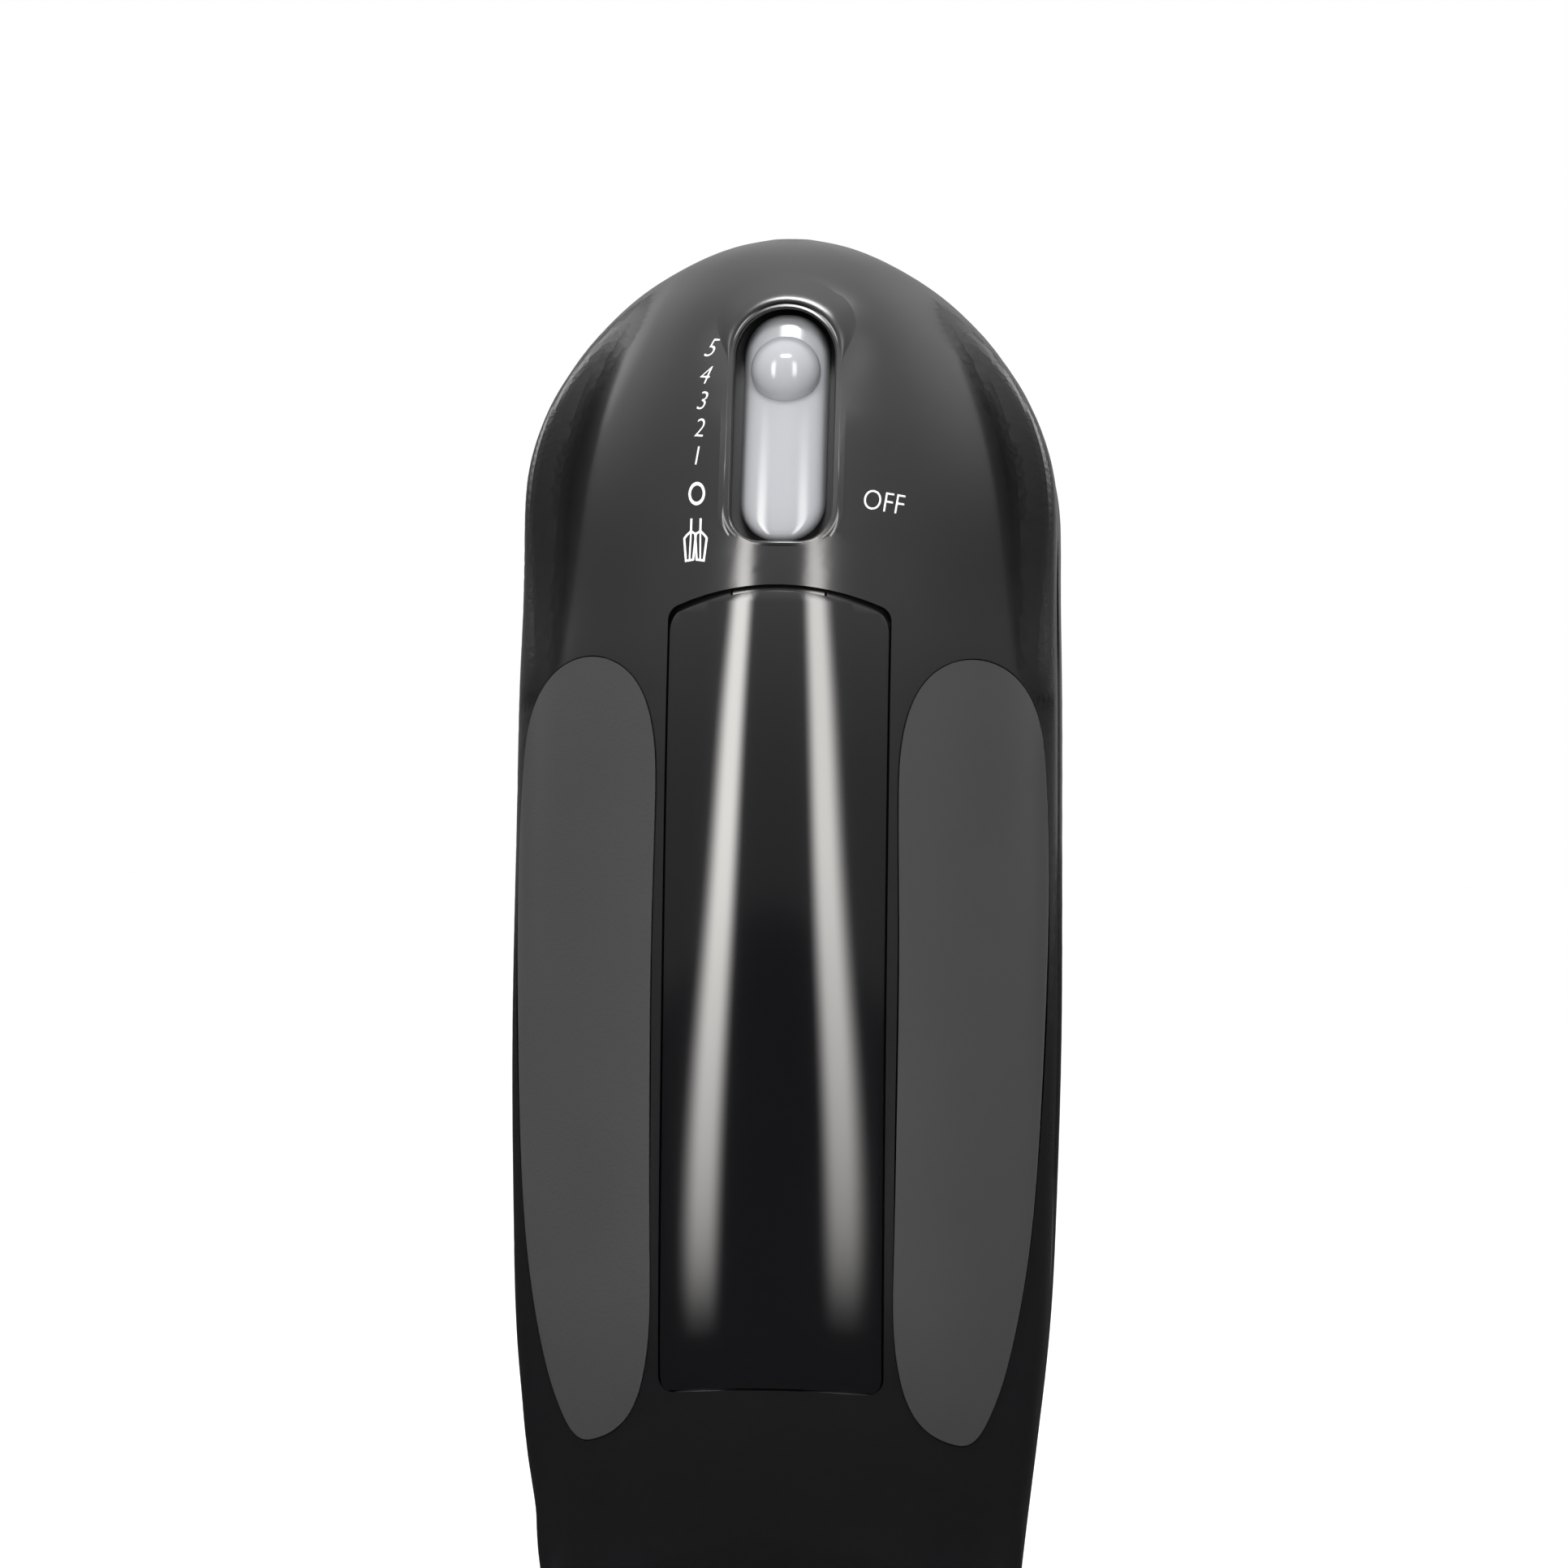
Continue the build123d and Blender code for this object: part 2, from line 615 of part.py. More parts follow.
def coil_spring(start, along, length, radius, wire, coils):
    """A compression spring: a round wire swept along a helix."""
    seat = Plane(origin=start, z_dir=along)
    helix = seat.location * Helix(pitch=length / coils, height=length, radius=radius)
    with BuildPart() as spring:
        with BuildLine():
            add(helix)
        with BuildSketch(Plane(origin=helix @ 0, z_dir=helix % 0)):
            Circle(wire)
        sweep(path=helix, is_frenet=True)
    return spring.part


with BuildPart() as brush_springs:
    for hand in (-1, 1):
        add(coil_spring((hand * 17.5, MOTOR_Y, BRUSH_Z), (hand, 0, 0), 5.8, 1.9, 0.3, 5))
save(brush_springs.part, "brush_springs")

# ---------------------------------------------------------------- armature
ARMATURE_R = 12.9
SLOTS = 12
with BuildPart() as armature_shaft:
    with BuildSketch(motor_plane(36.5)):
        Circle(SHAFT_R)
    extrude(amount=139.0)
    chamfer(armature_shaft.edges().filter_by(GeomType.CIRCLE), 0.4)
save(armature_shaft.part, "armature_shaft")

with BuildPart() as armature_core:
    with BuildSketch(motor_plane(STATOR_Z[0])):
        Circle(ARMATURE_R)
        Circle(SHAFT_R, mode=Mode.SUBTRACT)
        with PolarLocations(9.6, SLOTS):
            Circle(1.8, mode=Mode.SUBTRACT)
        with PolarLocations(11.8, SLOTS):
            Rectangle(3.4, 0.9, mode=Mode.SUBTRACT)
    extrude(amount=STATOR_Z[1] - STATOR_Z[0])
save(armature_core.part, "armature_core")

with BuildPart() as armature_windings:
    with BuildSketch(motor_plane(STATOR_Z[0] - 6.5)):
        with PolarLocations(9.6, SLOTS):
            Circle(1.7)
    extrude(amount=STATOR_Z[1] - STATOR_Z[0] + 12.5)
    for z in (STATOR_Z[0] - 6.7, STATOR_Z[1] + 0.2):
        with BuildSketch(motor_plane(z)):
            Circle(11.6)
            Circle(SHAFT_R, mode=Mode.SUBTRACT)
        extrude(amount=6.5)
save(armature_windings.part, "armature_windings")

with BuildPart() as commutator:
    with BuildSketch(motor_plane(50.5)):
        Circle(COMMUTATOR_R)
        Circle(SHAFT_R, mode=Mode.SUBTRACT)
        with PolarLocations(COMMUTATOR_R, SLOTS):
            Rectangle(1.6, 0.5, mode=Mode.SUBTRACT)
    extrude(amount=12.0)
save(commutator.part, "commutator")

FAN_Z = 108.0
FAN_R = 21.5
with BuildPart() as cooling_fan:
    with BuildSketch(motor_plane(FAN_Z)):
        Circle(FAN_R)
        Circle(SHAFT_R, mode=Mode.SUBTRACT)
    extrude(amount=1.4)
    with BuildSketch(motor_plane(FAN_Z + 1.4)):
        Circle(6.5)
        Circle(SHAFT_R, mode=Mode.SUBTRACT)
    extrude(amount=8.0)
    with BuildSketch(motor_plane(FAN_Z + 1.4)):
        with PolarLocations(14.0, 11):
            Rectangle(14.0, 1.2, rotation=28)
    extrude(amount=7.0)
save(cooling_fan.part, "cooling_fan")

# Two-start worm at axial module 1: its section is one thread's axial profile wrapped round
# each half turn, because a lead of two pi moves the thread one millimetre a radian.
TIP_R = WORM_R + 0.85
ROOT_R = WORM_R - 1.2
WORM_Z = (139.5, 164.5)
THREAD = [(ROOT_R, 1.1), (4.5, 0.84), (5.15, 0.6), (TIP_R, 0.34)]  # radius, half angle


def polar(radius, angle):
    """A point from its radius and its angle in radians."""
    return Vector(radius * cos(angle), radius * sin(angle))


groove_at = pi / 2 + (WORM_Z[0] - SPINDLE_Z)
with BuildSketch() as worm_section:
    with BuildLine():
        for start in (0, 1):
            crest = groove_at + start * pi
            rising = [polar(r, crest - a) for r, a in THREAD]
            falling = [polar(r, crest + a) for r, a in reversed(THREAD)]
            Polyline(*rising)
            ThreePointArc(rising[-1], polar(TIP_R, crest), falling[0])
            Polyline(*falling)
            far = polar(ROOT_R, crest + pi / 2)
            ThreePointArc(falling[-1], far, polar(ROOT_R, crest + pi - THREAD[0][1]))
    make_face()

worm_seat = motor_plane(WORM_Z[0])
worm_body = Solid.extrude_linear_with_rotation(
    worm_seat.location * worm_section.sketch.face(),
    worm_seat.origin,
    (0, 0, WORM_Z[1] - WORM_Z[0]),
    degrees(WORM_Z[1] - WORM_Z[0]),
)
with BuildPart() as worm:
    add(worm_body)
    with BuildSketch(motor_plane(WORM_Z[0] - 3.0)):
        Circle(ROOT_R)
    extrude(amount=3.0)
    with BuildSketch(motor_plane(WORM_Z[0] - 3.0)):
        Circle(SHAFT_R)
    extrude(amount=40.0, mode=Mode.SUBTRACT)
save(worm.part, "worm")

# ---------------------------------------------------------------- gearbox, on the body
BOX_Y = (12.5, 36.0)
BOX_Z = (135.0, 177.0)
BOX_HALF = 29.6
BOX_WALL = 1.5
BOX_MID = (BOX_Z[0] + BOX_Z[1]) / 2
UPPER_R = 4.0
LOWER_R = 6.0
LOWER_BUSH_R = 7.6
NOSE_BUSH_R = 4.6


def box_outline(shrink):
    """The gearbox seen along the beaters: its nose corners are rounded to the shell."""
    with Locations((0, BOX_MID)):
        Rectangle(2 * (BOX_HALF - shrink), BOX_Z[1] - BOX_Z[0] - 2 * shrink)


with BuildPart() as gearbox_housing:
    with BuildSketch(Plane.XZ.offset(-BOX_Y[0])) as box:
        box_outline(0)
        fillet(box.vertices().group_by(Axis.Y)[-1], 12.0)
    extrude(amount=BOX_Y[0] - BOX_Y[1])
    with BuildSketch(Plane.XZ.offset(-BOX_Y[0] - BOX_WALL)) as pocket:
        box_outline(BOX_WALL)
        fillet(pocket.vertices().group_by(Axis.Y)[-1], 10.5)
    extrude(amount=-40.0, mode=Mode.SUBTRACT)
    with BuildSketch(motor_plane(169.5)):
        Rectangle(2 * NOSE_BUSH_R + 4, 16.0)
    extrude(amount=BOX_Z[1] - 169.5)
    with BuildSketch(motor_plane(169.5)):
        Circle(NOSE_BUSH_R)
    extrude(amount=6.6, mode=Mode.SUBTRACT)
    with BuildSketch(motor_plane(BOX_Z[0] - 1)):
        Circle(TIP_R + 0.6)
    extrude(amount=4.0, mode=Mode.SUBTRACT)
    for x in SOCKET_X:
        with BuildSketch(spindle_plane(x, BOX_Y[0])):
            Circle(UPPER_R + RUN_CLEARANCE)
        extrude(amount=BOX_WALL, mode=Mode.SUBTRACT)
save(gearbox_housing.part, "gearbox_housing")

COVER_Y = BOX_Y[1] + 2.2
BUSH_END_Y = 50.0
with BuildPart() as gearbox_cover:
    with BuildSketch(Plane.XZ.offset(-BOX_Y[1])) as plate:
        box_outline(0)
        fillet(plate.vertices().group_by(Axis.Y)[-1], 12.0)
    extrude(amount=BOX_Y[1] - COVER_Y)
    for x in SOCKET_X:
        with BuildSketch(spindle_plane(x, COVER_Y)):
            Circle(LOWER_BUSH_R + 1.3)
        extrude(amount=BUSH_END_Y - COVER_Y)
        with BuildSketch(spindle_plane(x, BOX_Y[1])):
            Circle(LOWER_BUSH_R)
        extrude(amount=30, mode=Mode.SUBTRACT)
save(gearbox_cover.part, "gearbox_cover")

bush("nose_bush", motor_plane(169.5), SHAFT_R + RUN_CLEARANCE, NOSE_BUSH_R, 6.4)

with BuildPart() as spindle_bushes:
    for x in SOCKET_X:
        with BuildSketch(spindle_plane(x, COVER_Y)):
            Circle(LOWER_BUSH_R)
            Circle(LOWER_R + RUN_CLEARANCE, mode=Mode.SUBTRACT)
        extrude(amount=BUSH_END_Y - COVER_Y)
save(spindle_bushes.part, "spindle_bushes")

# ---------------------------------------------------------------- spindles and worm wheels
SPINDLE_BORE = 3.1
GEAR_SEAT_R = 5.0
GEAR_Y = (24.0, 32.0)
SPINDLE_Y = (9.5, 60.5)
WHEEL_TOOTH = [(WHEEL_R - 1.2, 1.02), (WHEEL_R, 0.58), (WHEEL_R + 0.85, 0.3)]  # radius, half mm
HELIX_TURN = degrees((GEAR_Y[1] - GEAR_Y[0]) / WORM_R / WHEEL_R)


def worm_wheel(x, name):
    """A helical wheel in mesh with the worm: a tooth faces the worm at mid-depth."""
    with BuildSketch() as section:
        with BuildLine():
            points = []
            for tooth in range(WHEEL_TEETH):
                middle = 2 * pi * tooth / WHEEL_TEETH - radians(HELIX_TURN / 2)
                points += [polar(r, middle - half / r) for r, half in WHEEL_TOOTH]
                points += [polar(r, middle + half / r) for r, half in reversed(WHEEL_TOOTH)]
            Polyline(*points, close=True)
        make_face()
    seat = spindle_plane(x, GEAR_Y[0])
    blank = Solid.extrude_linear_with_rotation(
        seat.location * section.sketch.face(),
        seat.origin,
        (0, GEAR_Y[1] - GEAR_Y[0], 0),
        HELIX_TURN,
    )
    with BuildPart() as wheel:
        add(blank)
        with BuildSketch(seat):
            Circle(GEAR_SEAT_R)
        extrude(amount=GEAR_Y[1] - GEAR_Y[0], mode=Mode.SUBTRACT)
    return save(wheel.part, name)


def spindle(x, name):
    """A hollow spindle: an upper journal, the wheel's seat and the wide socket below."""
    with BuildPart() as tube:
        for radius, y0, y1 in ((UPPER_R, SPINDLE_Y[0], 14.4), (GEAR_SEAT_R, 14.4, GEAR_Y[1]),
                               (LOWER_R, GEAR_Y[1], SPINDLE_Y[1])):
            with BuildSketch(spindle_plane(x, y0)):
                Circle(radius)
            extrude(amount=y1 - y0)
        with BuildSketch(spindle_plane(x, SPINDLE_Y[0])):
            Circle(SPINDLE_BORE)
        extrude(amount=60, mode=Mode.SUBTRACT)
    return save(tube.part, name)


# ---------------------------------------------------------------- beaters
BEATER_SHAFT_R = SPINDLE_BORE - RUN_CLEARANCE
COLLAR_Y = (64.6, 68.6)
HUB_Y = (77.0, 83.0)
WIRE_R = 1.3
CAGE = [(3.2, 79.5), (8.6, 87.0), (15.8, 99.0), (19.8, 114.0), (20.4, 131.0), (18.8, 148.0), (12.6, 161.0)]
CAGE_END_Y = 167.5


def beater(x, first_angle, side):
    """One beater: its shaft, its collar and a cage of two crossed wire loops."""
    with BuildPart() as stem:
        with BuildSketch(spindle_plane(x, 19.0)):
            Circle(BEATER_SHAFT_R)
        extrude(amount=HUB_Y[1] - 19.0)
        chamfer(stem.edges().filter_by(GeomType.CIRCLE), 0.6)
    save(stem.part, f"{side}_beater_shaft")
    with BuildPart() as collar:
        with BuildSketch(spindle_plane(x, COLLAR_Y[0])):
            Circle(7.4)
            Circle(BEATER_SHAFT_R, mode=Mode.SUBTRACT)
            with PolarLocations(7.6, 6):
                Circle(1.1, mode=Mode.SUBTRACT)
        extrude(amount=COLLAR_Y[1] - COLLAR_Y[0])
    save(collar.part, f"{side}_beater_collar")
    with BuildPart() as cage:
        with BuildSketch(spindle_plane(x, HUB_Y[0])):
            Circle(4.7)
        extrude(amount=HUB_Y[1] - HUB_Y[0])
        for loop, angle in enumerate((first_angle, first_angle + 90)):
            turn = radians(angle)
            u = Vector(cos(turn), 0, sin(turn))
            upright = Plane(origin=(x, 0, SPINDLE_Z), x_dir=u, z_dir=(-u.Z, 0, u.X))
            end = (0, CAGE_END_Y + loop * 2 * WIRE_R)
            back = [(-r, y) for r, y in reversed(CAGE)]
            with BuildLine(upright) as wire:
                Spline(*CAGE, end, *back)
            with BuildSketch(Plane(origin=wire.line @ 0, z_dir=wire.line % 0)):
                Circle(WIRE_R)
            sweep(path=wire.line)
        with BuildSketch(spindle_plane(x, HUB_Y[0] - 1)):
            Circle(BEATER_SHAFT_R)
        extrude(amount=HUB_Y[1] - HUB_Y[0] + 1, mode=Mode.SUBTRACT)
    save(cage.part, f"{side}_beater_cage")


for at_x, angle, side in ((-SPINDLE_X, 0, "left"), (SPINDLE_X, 45, "right")):
    worm_wheel(at_x, f"{side}_worm_wheel")
    spindle(at_x, f"{side}_spindle")
    beater(at_x, angle, side)

# ---------------------------------------------------------------- ejector
PLATE_Y = (1.0, 3.5)
STEM_X = (-12.0, -7.0)
STEM_Z = (168.0, 172.0)
SPRING_AT = [(-6.0, 146.0), (6.0, 158.0)]
with BuildPart() as eject_plate:
    with BuildSketch(Plane.XZ.offset(-PLATE_Y[0])):
        with Locations((0, SPINDLE_Z)):
            RectangleRounded(42.0, 17.0, 4.0)
        with Locations(((STEM_X[0] + STEM_X[1]) / 2, 163.0)):
            Rectangle(STEM_X[1] - STEM_X[0], 18.0)
    extrude(amount=PLATE_Y[0] - PLATE_Y[1])
    for x in SOCKET_X:
        with BuildSketch(spindle_plane(x, PLATE_Y[1])):
            Circle(2.3)
        extrude(amount=15.2)
save(eject_plate.part, "eject_plate")

with BuildPart() as eject_stem:
    with BuildSketch(Plane.XZ.offset(-PLATE_Y[0])):
        with Locations(((STEM_X[0] + STEM_X[1]) / 2, (STEM_Z[0] + STEM_Z[1]) / 2)):
            Rectangle(STEM_X[1] - STEM_X[0], STEM_Z[1] - STEM_Z[0])
    extrude(amount=51.0)
save(eject_stem.part, "eject_stem")

with BuildPart() as eject_springs:
    for x, z in SPRING_AT:
        add(coil_spring((x, PLATE_Y[1] + 0.5, z), (0, 1, 0), BOX_Y[0] - PLATE_Y[1] - 1.0, 2.6, 0.4, 5))
save(eject_springs.part, "eject_springs")

# ---------------------------------------------------------------- speed switch
STRIP_R = CHANNEL_R - 0.4
CARRIER_R = (189.2, 193.4)
STRIP_Z = (161.0, 192.9)
BUMP_R = 4.9


def track_point(radius, z):
    """The depth of a point on the track, from its radius and its height."""
    return TRACK_Y - sqrt(radius ** 2 - (z - TRACK_Z) ** 2)


start_turn = degrees(asin((STRIP_Z[0] - 2 - TRACK_Z) / STRIP_R))
strip_turn = degrees(asin((STRIP_Z[1] + 2 - TRACK_Z) / STRIP_R)) - start_turn
with BuildPart() as speed_slider:
    across = Plane(origin=(0, TRACK_Y, TRACK_Z), x_dir=(1, 0, 0), z_dir=(0, 0, 1))
    with BuildSketch(across.rotated((-start_turn, 0, 0))):
        with BuildLine():
            Polyline((-5.9, -195.6), (-5.9, -CARRIER_R[1]), (5.9, -CARRIER_R[1]), (5.9, -195.6))
            ThreePointArc((-5.9, -195.6), (0, -STRIP_R), (5.9, -195.6))
        make_face()
    revolve(axis=Axis((0, TRACK_Y, TRACK_Z), (-1, 0, 0)), revolution_arc=strip_turn)
    with BuildSketch(Plane.XZ.offset(40)):
        with Locations((0, (STRIP_Z[0] + STRIP_Z[1]) / 2)):
            RectangleRounded(11.8, STRIP_Z[1] - STRIP_Z[0], 5.6)
    extrude(amount=40, mode=Mode.INTERSECT)
    with Locations((0, track_point(STRIP_R - 0.6, BUMP_Z), BUMP_Z)):
        Sphere(BUMP_R)
    add(track_ring(-9, 9, CARRIER_R[1] - 12, CARRIER_R[1], 150, 198), mode=Mode.SUBTRACT)
save(speed_slider.part, "speed_slider")

with BuildPart() as slider_carrier:
    add(track_ring(-7.4, 7.4, *CARRIER_R, 158.5, 193.0))
    add(track_ring(-2.0, 2.0, 180.0, CARRIER_R[0], 176.0, 180.0))
save(slider_carrier.part, "slider_carrier")

with BuildPart() as slider_guide:
    add(track_ring(-9.8, 9.8, 187.0, 193.2, 139.0, 197.2))
    add(track_ring(-8.2, 8.2, 188.6, 196.0, 138.0, 199.0), mode=Mode.SUBTRACT)
    add(track_ring(-2.8, 2.8, 186.0, 190.0, 150.0, 190.0), mode=Mode.SUBTRACT)
save(slider_guide.part, "slider_guide")

with BuildPart() as speed_switch:
    add(track_ring(-5.0, 14.0, 172.0, 186.6, 166.5, 189.0))
    add(track_ring(-2.6, 2.6, 178.5, 190.0, 150.0, 196.0), mode=Mode.SUBTRACT)
save(speed_switch.part, "speed_switch")

with BuildPart() as switch_terminals:
    for x in (0.0, 5.0, 10.0):
        add(track_ring(x - 1.2, x + 1.2, 166.0, 172.0, 176.0, 176.8))
save(switch_terminals.part, "switch_terminals")

BOARD_Y = (-28.5, -27.0)
with BuildPart() as control_board:
    with BuildSketch(Plane.XZ.offset(-BOARD_Y[0])):
        with Locations((7.0, 179.5)):
            RectangleRounded(24.0, 23.0, 1.5)
    extrude(amount=BOARD_Y[0] - BOARD_Y[1])
save(control_board.part, "control_board")

with BuildPart() as heat_sink:
    with BuildSketch(Plane.XZ.offset(-BOARD_Y[1])):
        with Locations((14.0, 179.0)):
            Rectangle(1.6, 14.0)
            with GridLocations(0, 3.1, 1, 5):
                Rectangle(7.0, 1.2)
    extrude(amount=-9.0)
save(heat_sink.part, "heat_sink")

with BuildPart() as suppression_capacitor:
    with BuildSketch(Plane.XZ.offset(-BOARD_Y[1])):
        with Locations((1.5, 179.0)):
            RectangleRounded(7.0, 14.0, 1.2)
    extrude(amount=-10.0)
save(suppression_capacitor.part, "suppression_capacitor")
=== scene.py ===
# %% [markdown]
# # An electric hand mixer
# The mixer stands on its heel with both beaters fitted. Its housings, motor, gears and
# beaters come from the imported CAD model, which stays where it is. This lesson gives every
# one of those pieces a finish made from shader nodes. It models anew the pieces that an
# eye and a hand meet first: the inlay on the grip, the slide switch and the lip of its
# slot, the rubber foot and the printed legend.

import json
from math import atan2, cos, pi, radians, sin, sqrt

import bmesh
import bpy
import numpy as np
from mathutils import Matrix, Vector
from mathutils.bvhtree import BVHTree


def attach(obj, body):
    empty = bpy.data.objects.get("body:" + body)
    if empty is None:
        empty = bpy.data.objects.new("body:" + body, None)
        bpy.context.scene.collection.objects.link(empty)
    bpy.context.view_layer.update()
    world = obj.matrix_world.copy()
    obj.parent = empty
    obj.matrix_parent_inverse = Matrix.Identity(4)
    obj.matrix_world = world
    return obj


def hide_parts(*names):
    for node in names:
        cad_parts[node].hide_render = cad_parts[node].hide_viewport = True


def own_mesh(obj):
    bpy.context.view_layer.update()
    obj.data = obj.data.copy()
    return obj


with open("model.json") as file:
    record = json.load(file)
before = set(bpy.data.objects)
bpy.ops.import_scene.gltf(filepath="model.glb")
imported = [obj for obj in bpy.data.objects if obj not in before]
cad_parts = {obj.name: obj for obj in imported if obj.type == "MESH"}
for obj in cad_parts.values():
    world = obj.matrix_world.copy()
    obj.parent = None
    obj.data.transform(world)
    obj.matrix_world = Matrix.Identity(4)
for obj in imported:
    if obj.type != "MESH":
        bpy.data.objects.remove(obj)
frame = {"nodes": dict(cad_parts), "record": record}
bpy.context.view_layer.update()
MM = 0.001  # the modelling is done in millimetres and turned to metres at the end

# %% [markdown]
# ## A short way to write shader maths
# A finish is a tree of nodes. Linking dozens of nodes by hand hides the idea, so a small
# class wraps one output socket and lets Python's own +, - and * add the Math nodes. Every
# other node comes from one method that takes its type, its settings and its sockets.


# %% Sockets that add and multiply
class Wire:
    """One output in a finish's tree. Sums and products of it add Math nodes."""

    def __init__(self, finish, socket):
        self.finish = finish
        self.socket = socket

    def maths(self, operation, first, second):
        return self.finish.node("Math", {"operation": operation}, {0: first, 1: second})

    def __add__(self, other):
        return self.maths("ADD", self, other)

    def __sub__(self, other):
        return self.maths("SUBTRACT", self, other)

    def __rsub__(self, other):
        return self.maths("SUBTRACT", other, self)

    def __mul__(self, other):
        return self.maths("MULTIPLY", self, other)

    __radd__ = __add__
    __rmul__ = __mul__


# %% A tree of nodes
class Graph:
    """A node tree, of a material, a lamp or the sky."""

    def __init__(self, tree):
        self.tree = tree

    def node(self, kind, settings=None, sockets=None, output=0):
        made = self.tree.nodes.new("ShaderNode" + kind)
        for name, value in (settings or {}).items():
            setattr(made, name, value)
        for key, value in (sockets or {}).items():
            if isinstance(value, Wire):
                self.tree.links.new(value.socket, made.inputs[key])
            else:
                made.inputs[key].default_value = value
        return Wire(self, made.outputs[output])


# %% [markdown]
# A finish is such a tree with a Principled shader in it. Its noises are given in
# millimetres and read object coordinates, so they stay put when a piece moves.


# %% A finish
class Finish(Graph):
    """A material being made. Constants sit on the shader; only what varies is linked."""

    def __init__(self, name, **constants):
        self.material = bpy.data.materials.new(name)
        self.material.use_nodes = True
        super().__init__(self.material.node_tree)
        self.shader = self.tree.nodes["Principled BSDF"]
        for socket, value in constants.items():
            self.shader.inputs[socket.replace("_", " ")].default_value = value
        self.place = self.node("TexCoord", output="Object")

    def feed(self, **wires):
        for socket, wire in wires.items():
            self.tree.links.new(wire.socket, self.shader.inputs[socket.replace("_", " ")])
        return self.material

    def stretched(self, scale):
        """Object coordinates, each axis multiplied by its own factor."""
        return self.node("VectorMath", {"operation": "MULTIPLY"}, {0: self.place, 1: scale})

    def noise(self, size, detail=2.0, stretch=None):
        """A soft random value from 0 to 1 whose lumps measure about size millimetres."""
        where = self.stretched(stretch) if stretch else self.place
        sockets = {"Vector": where, "Scale": 1 / (size * MM), "Detail": detail}
        return self.node("TexNoise", None, sockets)

    def blend(self, share, low, high):
        """A colour between low and high."""
        return self.node("Mix", {"data_type": "RGBA"}, {0: share, 6: low, 7: high}, output=2)

    def bump(self, height, depth):
        """Raises the surface by height times depth millimetres."""
        sockets = {"Height": height, "Distance": depth * MM, "Strength": 1.0}
        return self.node("Bump", None, sockets)


def tint(colour, factor=1.0):
    """A colour with its alpha, brightened by factor."""
    return tuple(min(1.0, c * factor) for c in colour) + (1.0,)


print("a brighter grey:", tint((0.5, 0.5, 0.5), 1.2))

# %% [markdown]
# ## Moulded plastics
# The shell is charcoal black ABS from a polished mould, so it's glossy with a trace of
# flow and dust that softens the reflections a little from place to place. A wide, weak
# noise drives that roughness, and a very shallow one gives the skin its slight orange
# peel. The same recipe with other numbers makes the inlay, the switch and the inner
# mouldings, so one function holds it.


# %% Plastics
def moulded(name, colour, rough, rough_span=0.04, peel=0.004, peel_size=1.6, shift=0.12, **more):
    """A moulded plastic: colour and roughness drift slightly, and the skin has fine peel."""
    finish = Finish(name, **{"IOR": 1.5, **more})
    flow = finish.noise(22.0, 3.0)
    dust = finish.noise(0.5, 2.0)
    ripple = finish.noise(peel_size, 2.0)
    return finish.feed(
        Base_Color=finish.blend(flow, tint(colour, 1 - shift), tint(colour, 1 + shift)),
        Roughness=rough + rough_span * (flow - 0.5) + 0.35 * rough_span * dust,
        Normal=finish.bump(ripple, peel),
    )


def try_out(material):
    """Prints how many nodes a recipe makes, then removes the trial."""
    print(material.name, "recipe:", len(material.node_tree.nodes), "nodes")
    bpy.data.materials.remove(material)


try_out(moulded("plastic", (0.5, 0.5, 0.5), 0.3))


# %% Rubbers
def elastomer(name, colour, rough, pebble, depth, haze):
    """A soft-touch rubber: a pebbled skin, with a pale haze where hands and cloths rub it."""
    finish = Finish(name, IOR=1.45, Sheen_Weight=0.12, Sheen_Roughness=0.45)
    cells = {"Vector": finish.place, "Scale": 1 / (pebble * MM)}
    pebbles = finish.node("TexVoronoi", {"feature": "SMOOTH_F1"}, cells)
    fine = finish.noise(0.35, 3.0)
    worn = finish.noise(18.0, 4.0)
    return finish.feed(
        Base_Color=finish.blend(worn, tint(colour, 1 - haze), tint(colour, 1 + haze)),
        Roughness=rough + 0.12 * (worn - 0.5) + 0.1 * (fine - 0.5),
        Normal=finish.bump(pebbles + 0.5 * fine, depth),
    )


try_out(elastomer("rubber", (0.1, 0.1, 0.1), 0.6, 0.5, 0.02, 0.1))

# %% [markdown]
# ## Metals
# Sheet, turned and drawn metal differ mainly in the direction of their fine scratches.
# Stretching a noise along one axis makes those lines, and feeding it to both the roughness
# and a shallow bump gives the sheen its direction. Bright chrome gets almost none.


# %% Metals
def metal(name, colour, rough, span, grain=(1, 1, 1), depth=0.002, size=0.25):
    """A bare or plated metal with fine scratches along the axis that grain shortens."""
    finish = Finish(name, Metallic=1.0)
    scratches = finish.noise(size, 3.0, grain)
    stain = finish.noise(9.0, 3.0)
    return finish.feed(
        Base_Color=finish.blend(stain, tint(colour, 0.9), tint(colour, 1.06)),
        Roughness=rough + span * (scratches - 0.5) + 0.5 * span * stain,
        Normal=finish.bump(scratches, depth),
    )


try_out(metal("steel", (0.6, 0.6, 0.6), 0.3, 0.1))

# %% Stacks and windings
WAVES_PER_UNIT = 3.2  # how many bands a Wave texture of scale 1 lays on one unit of length


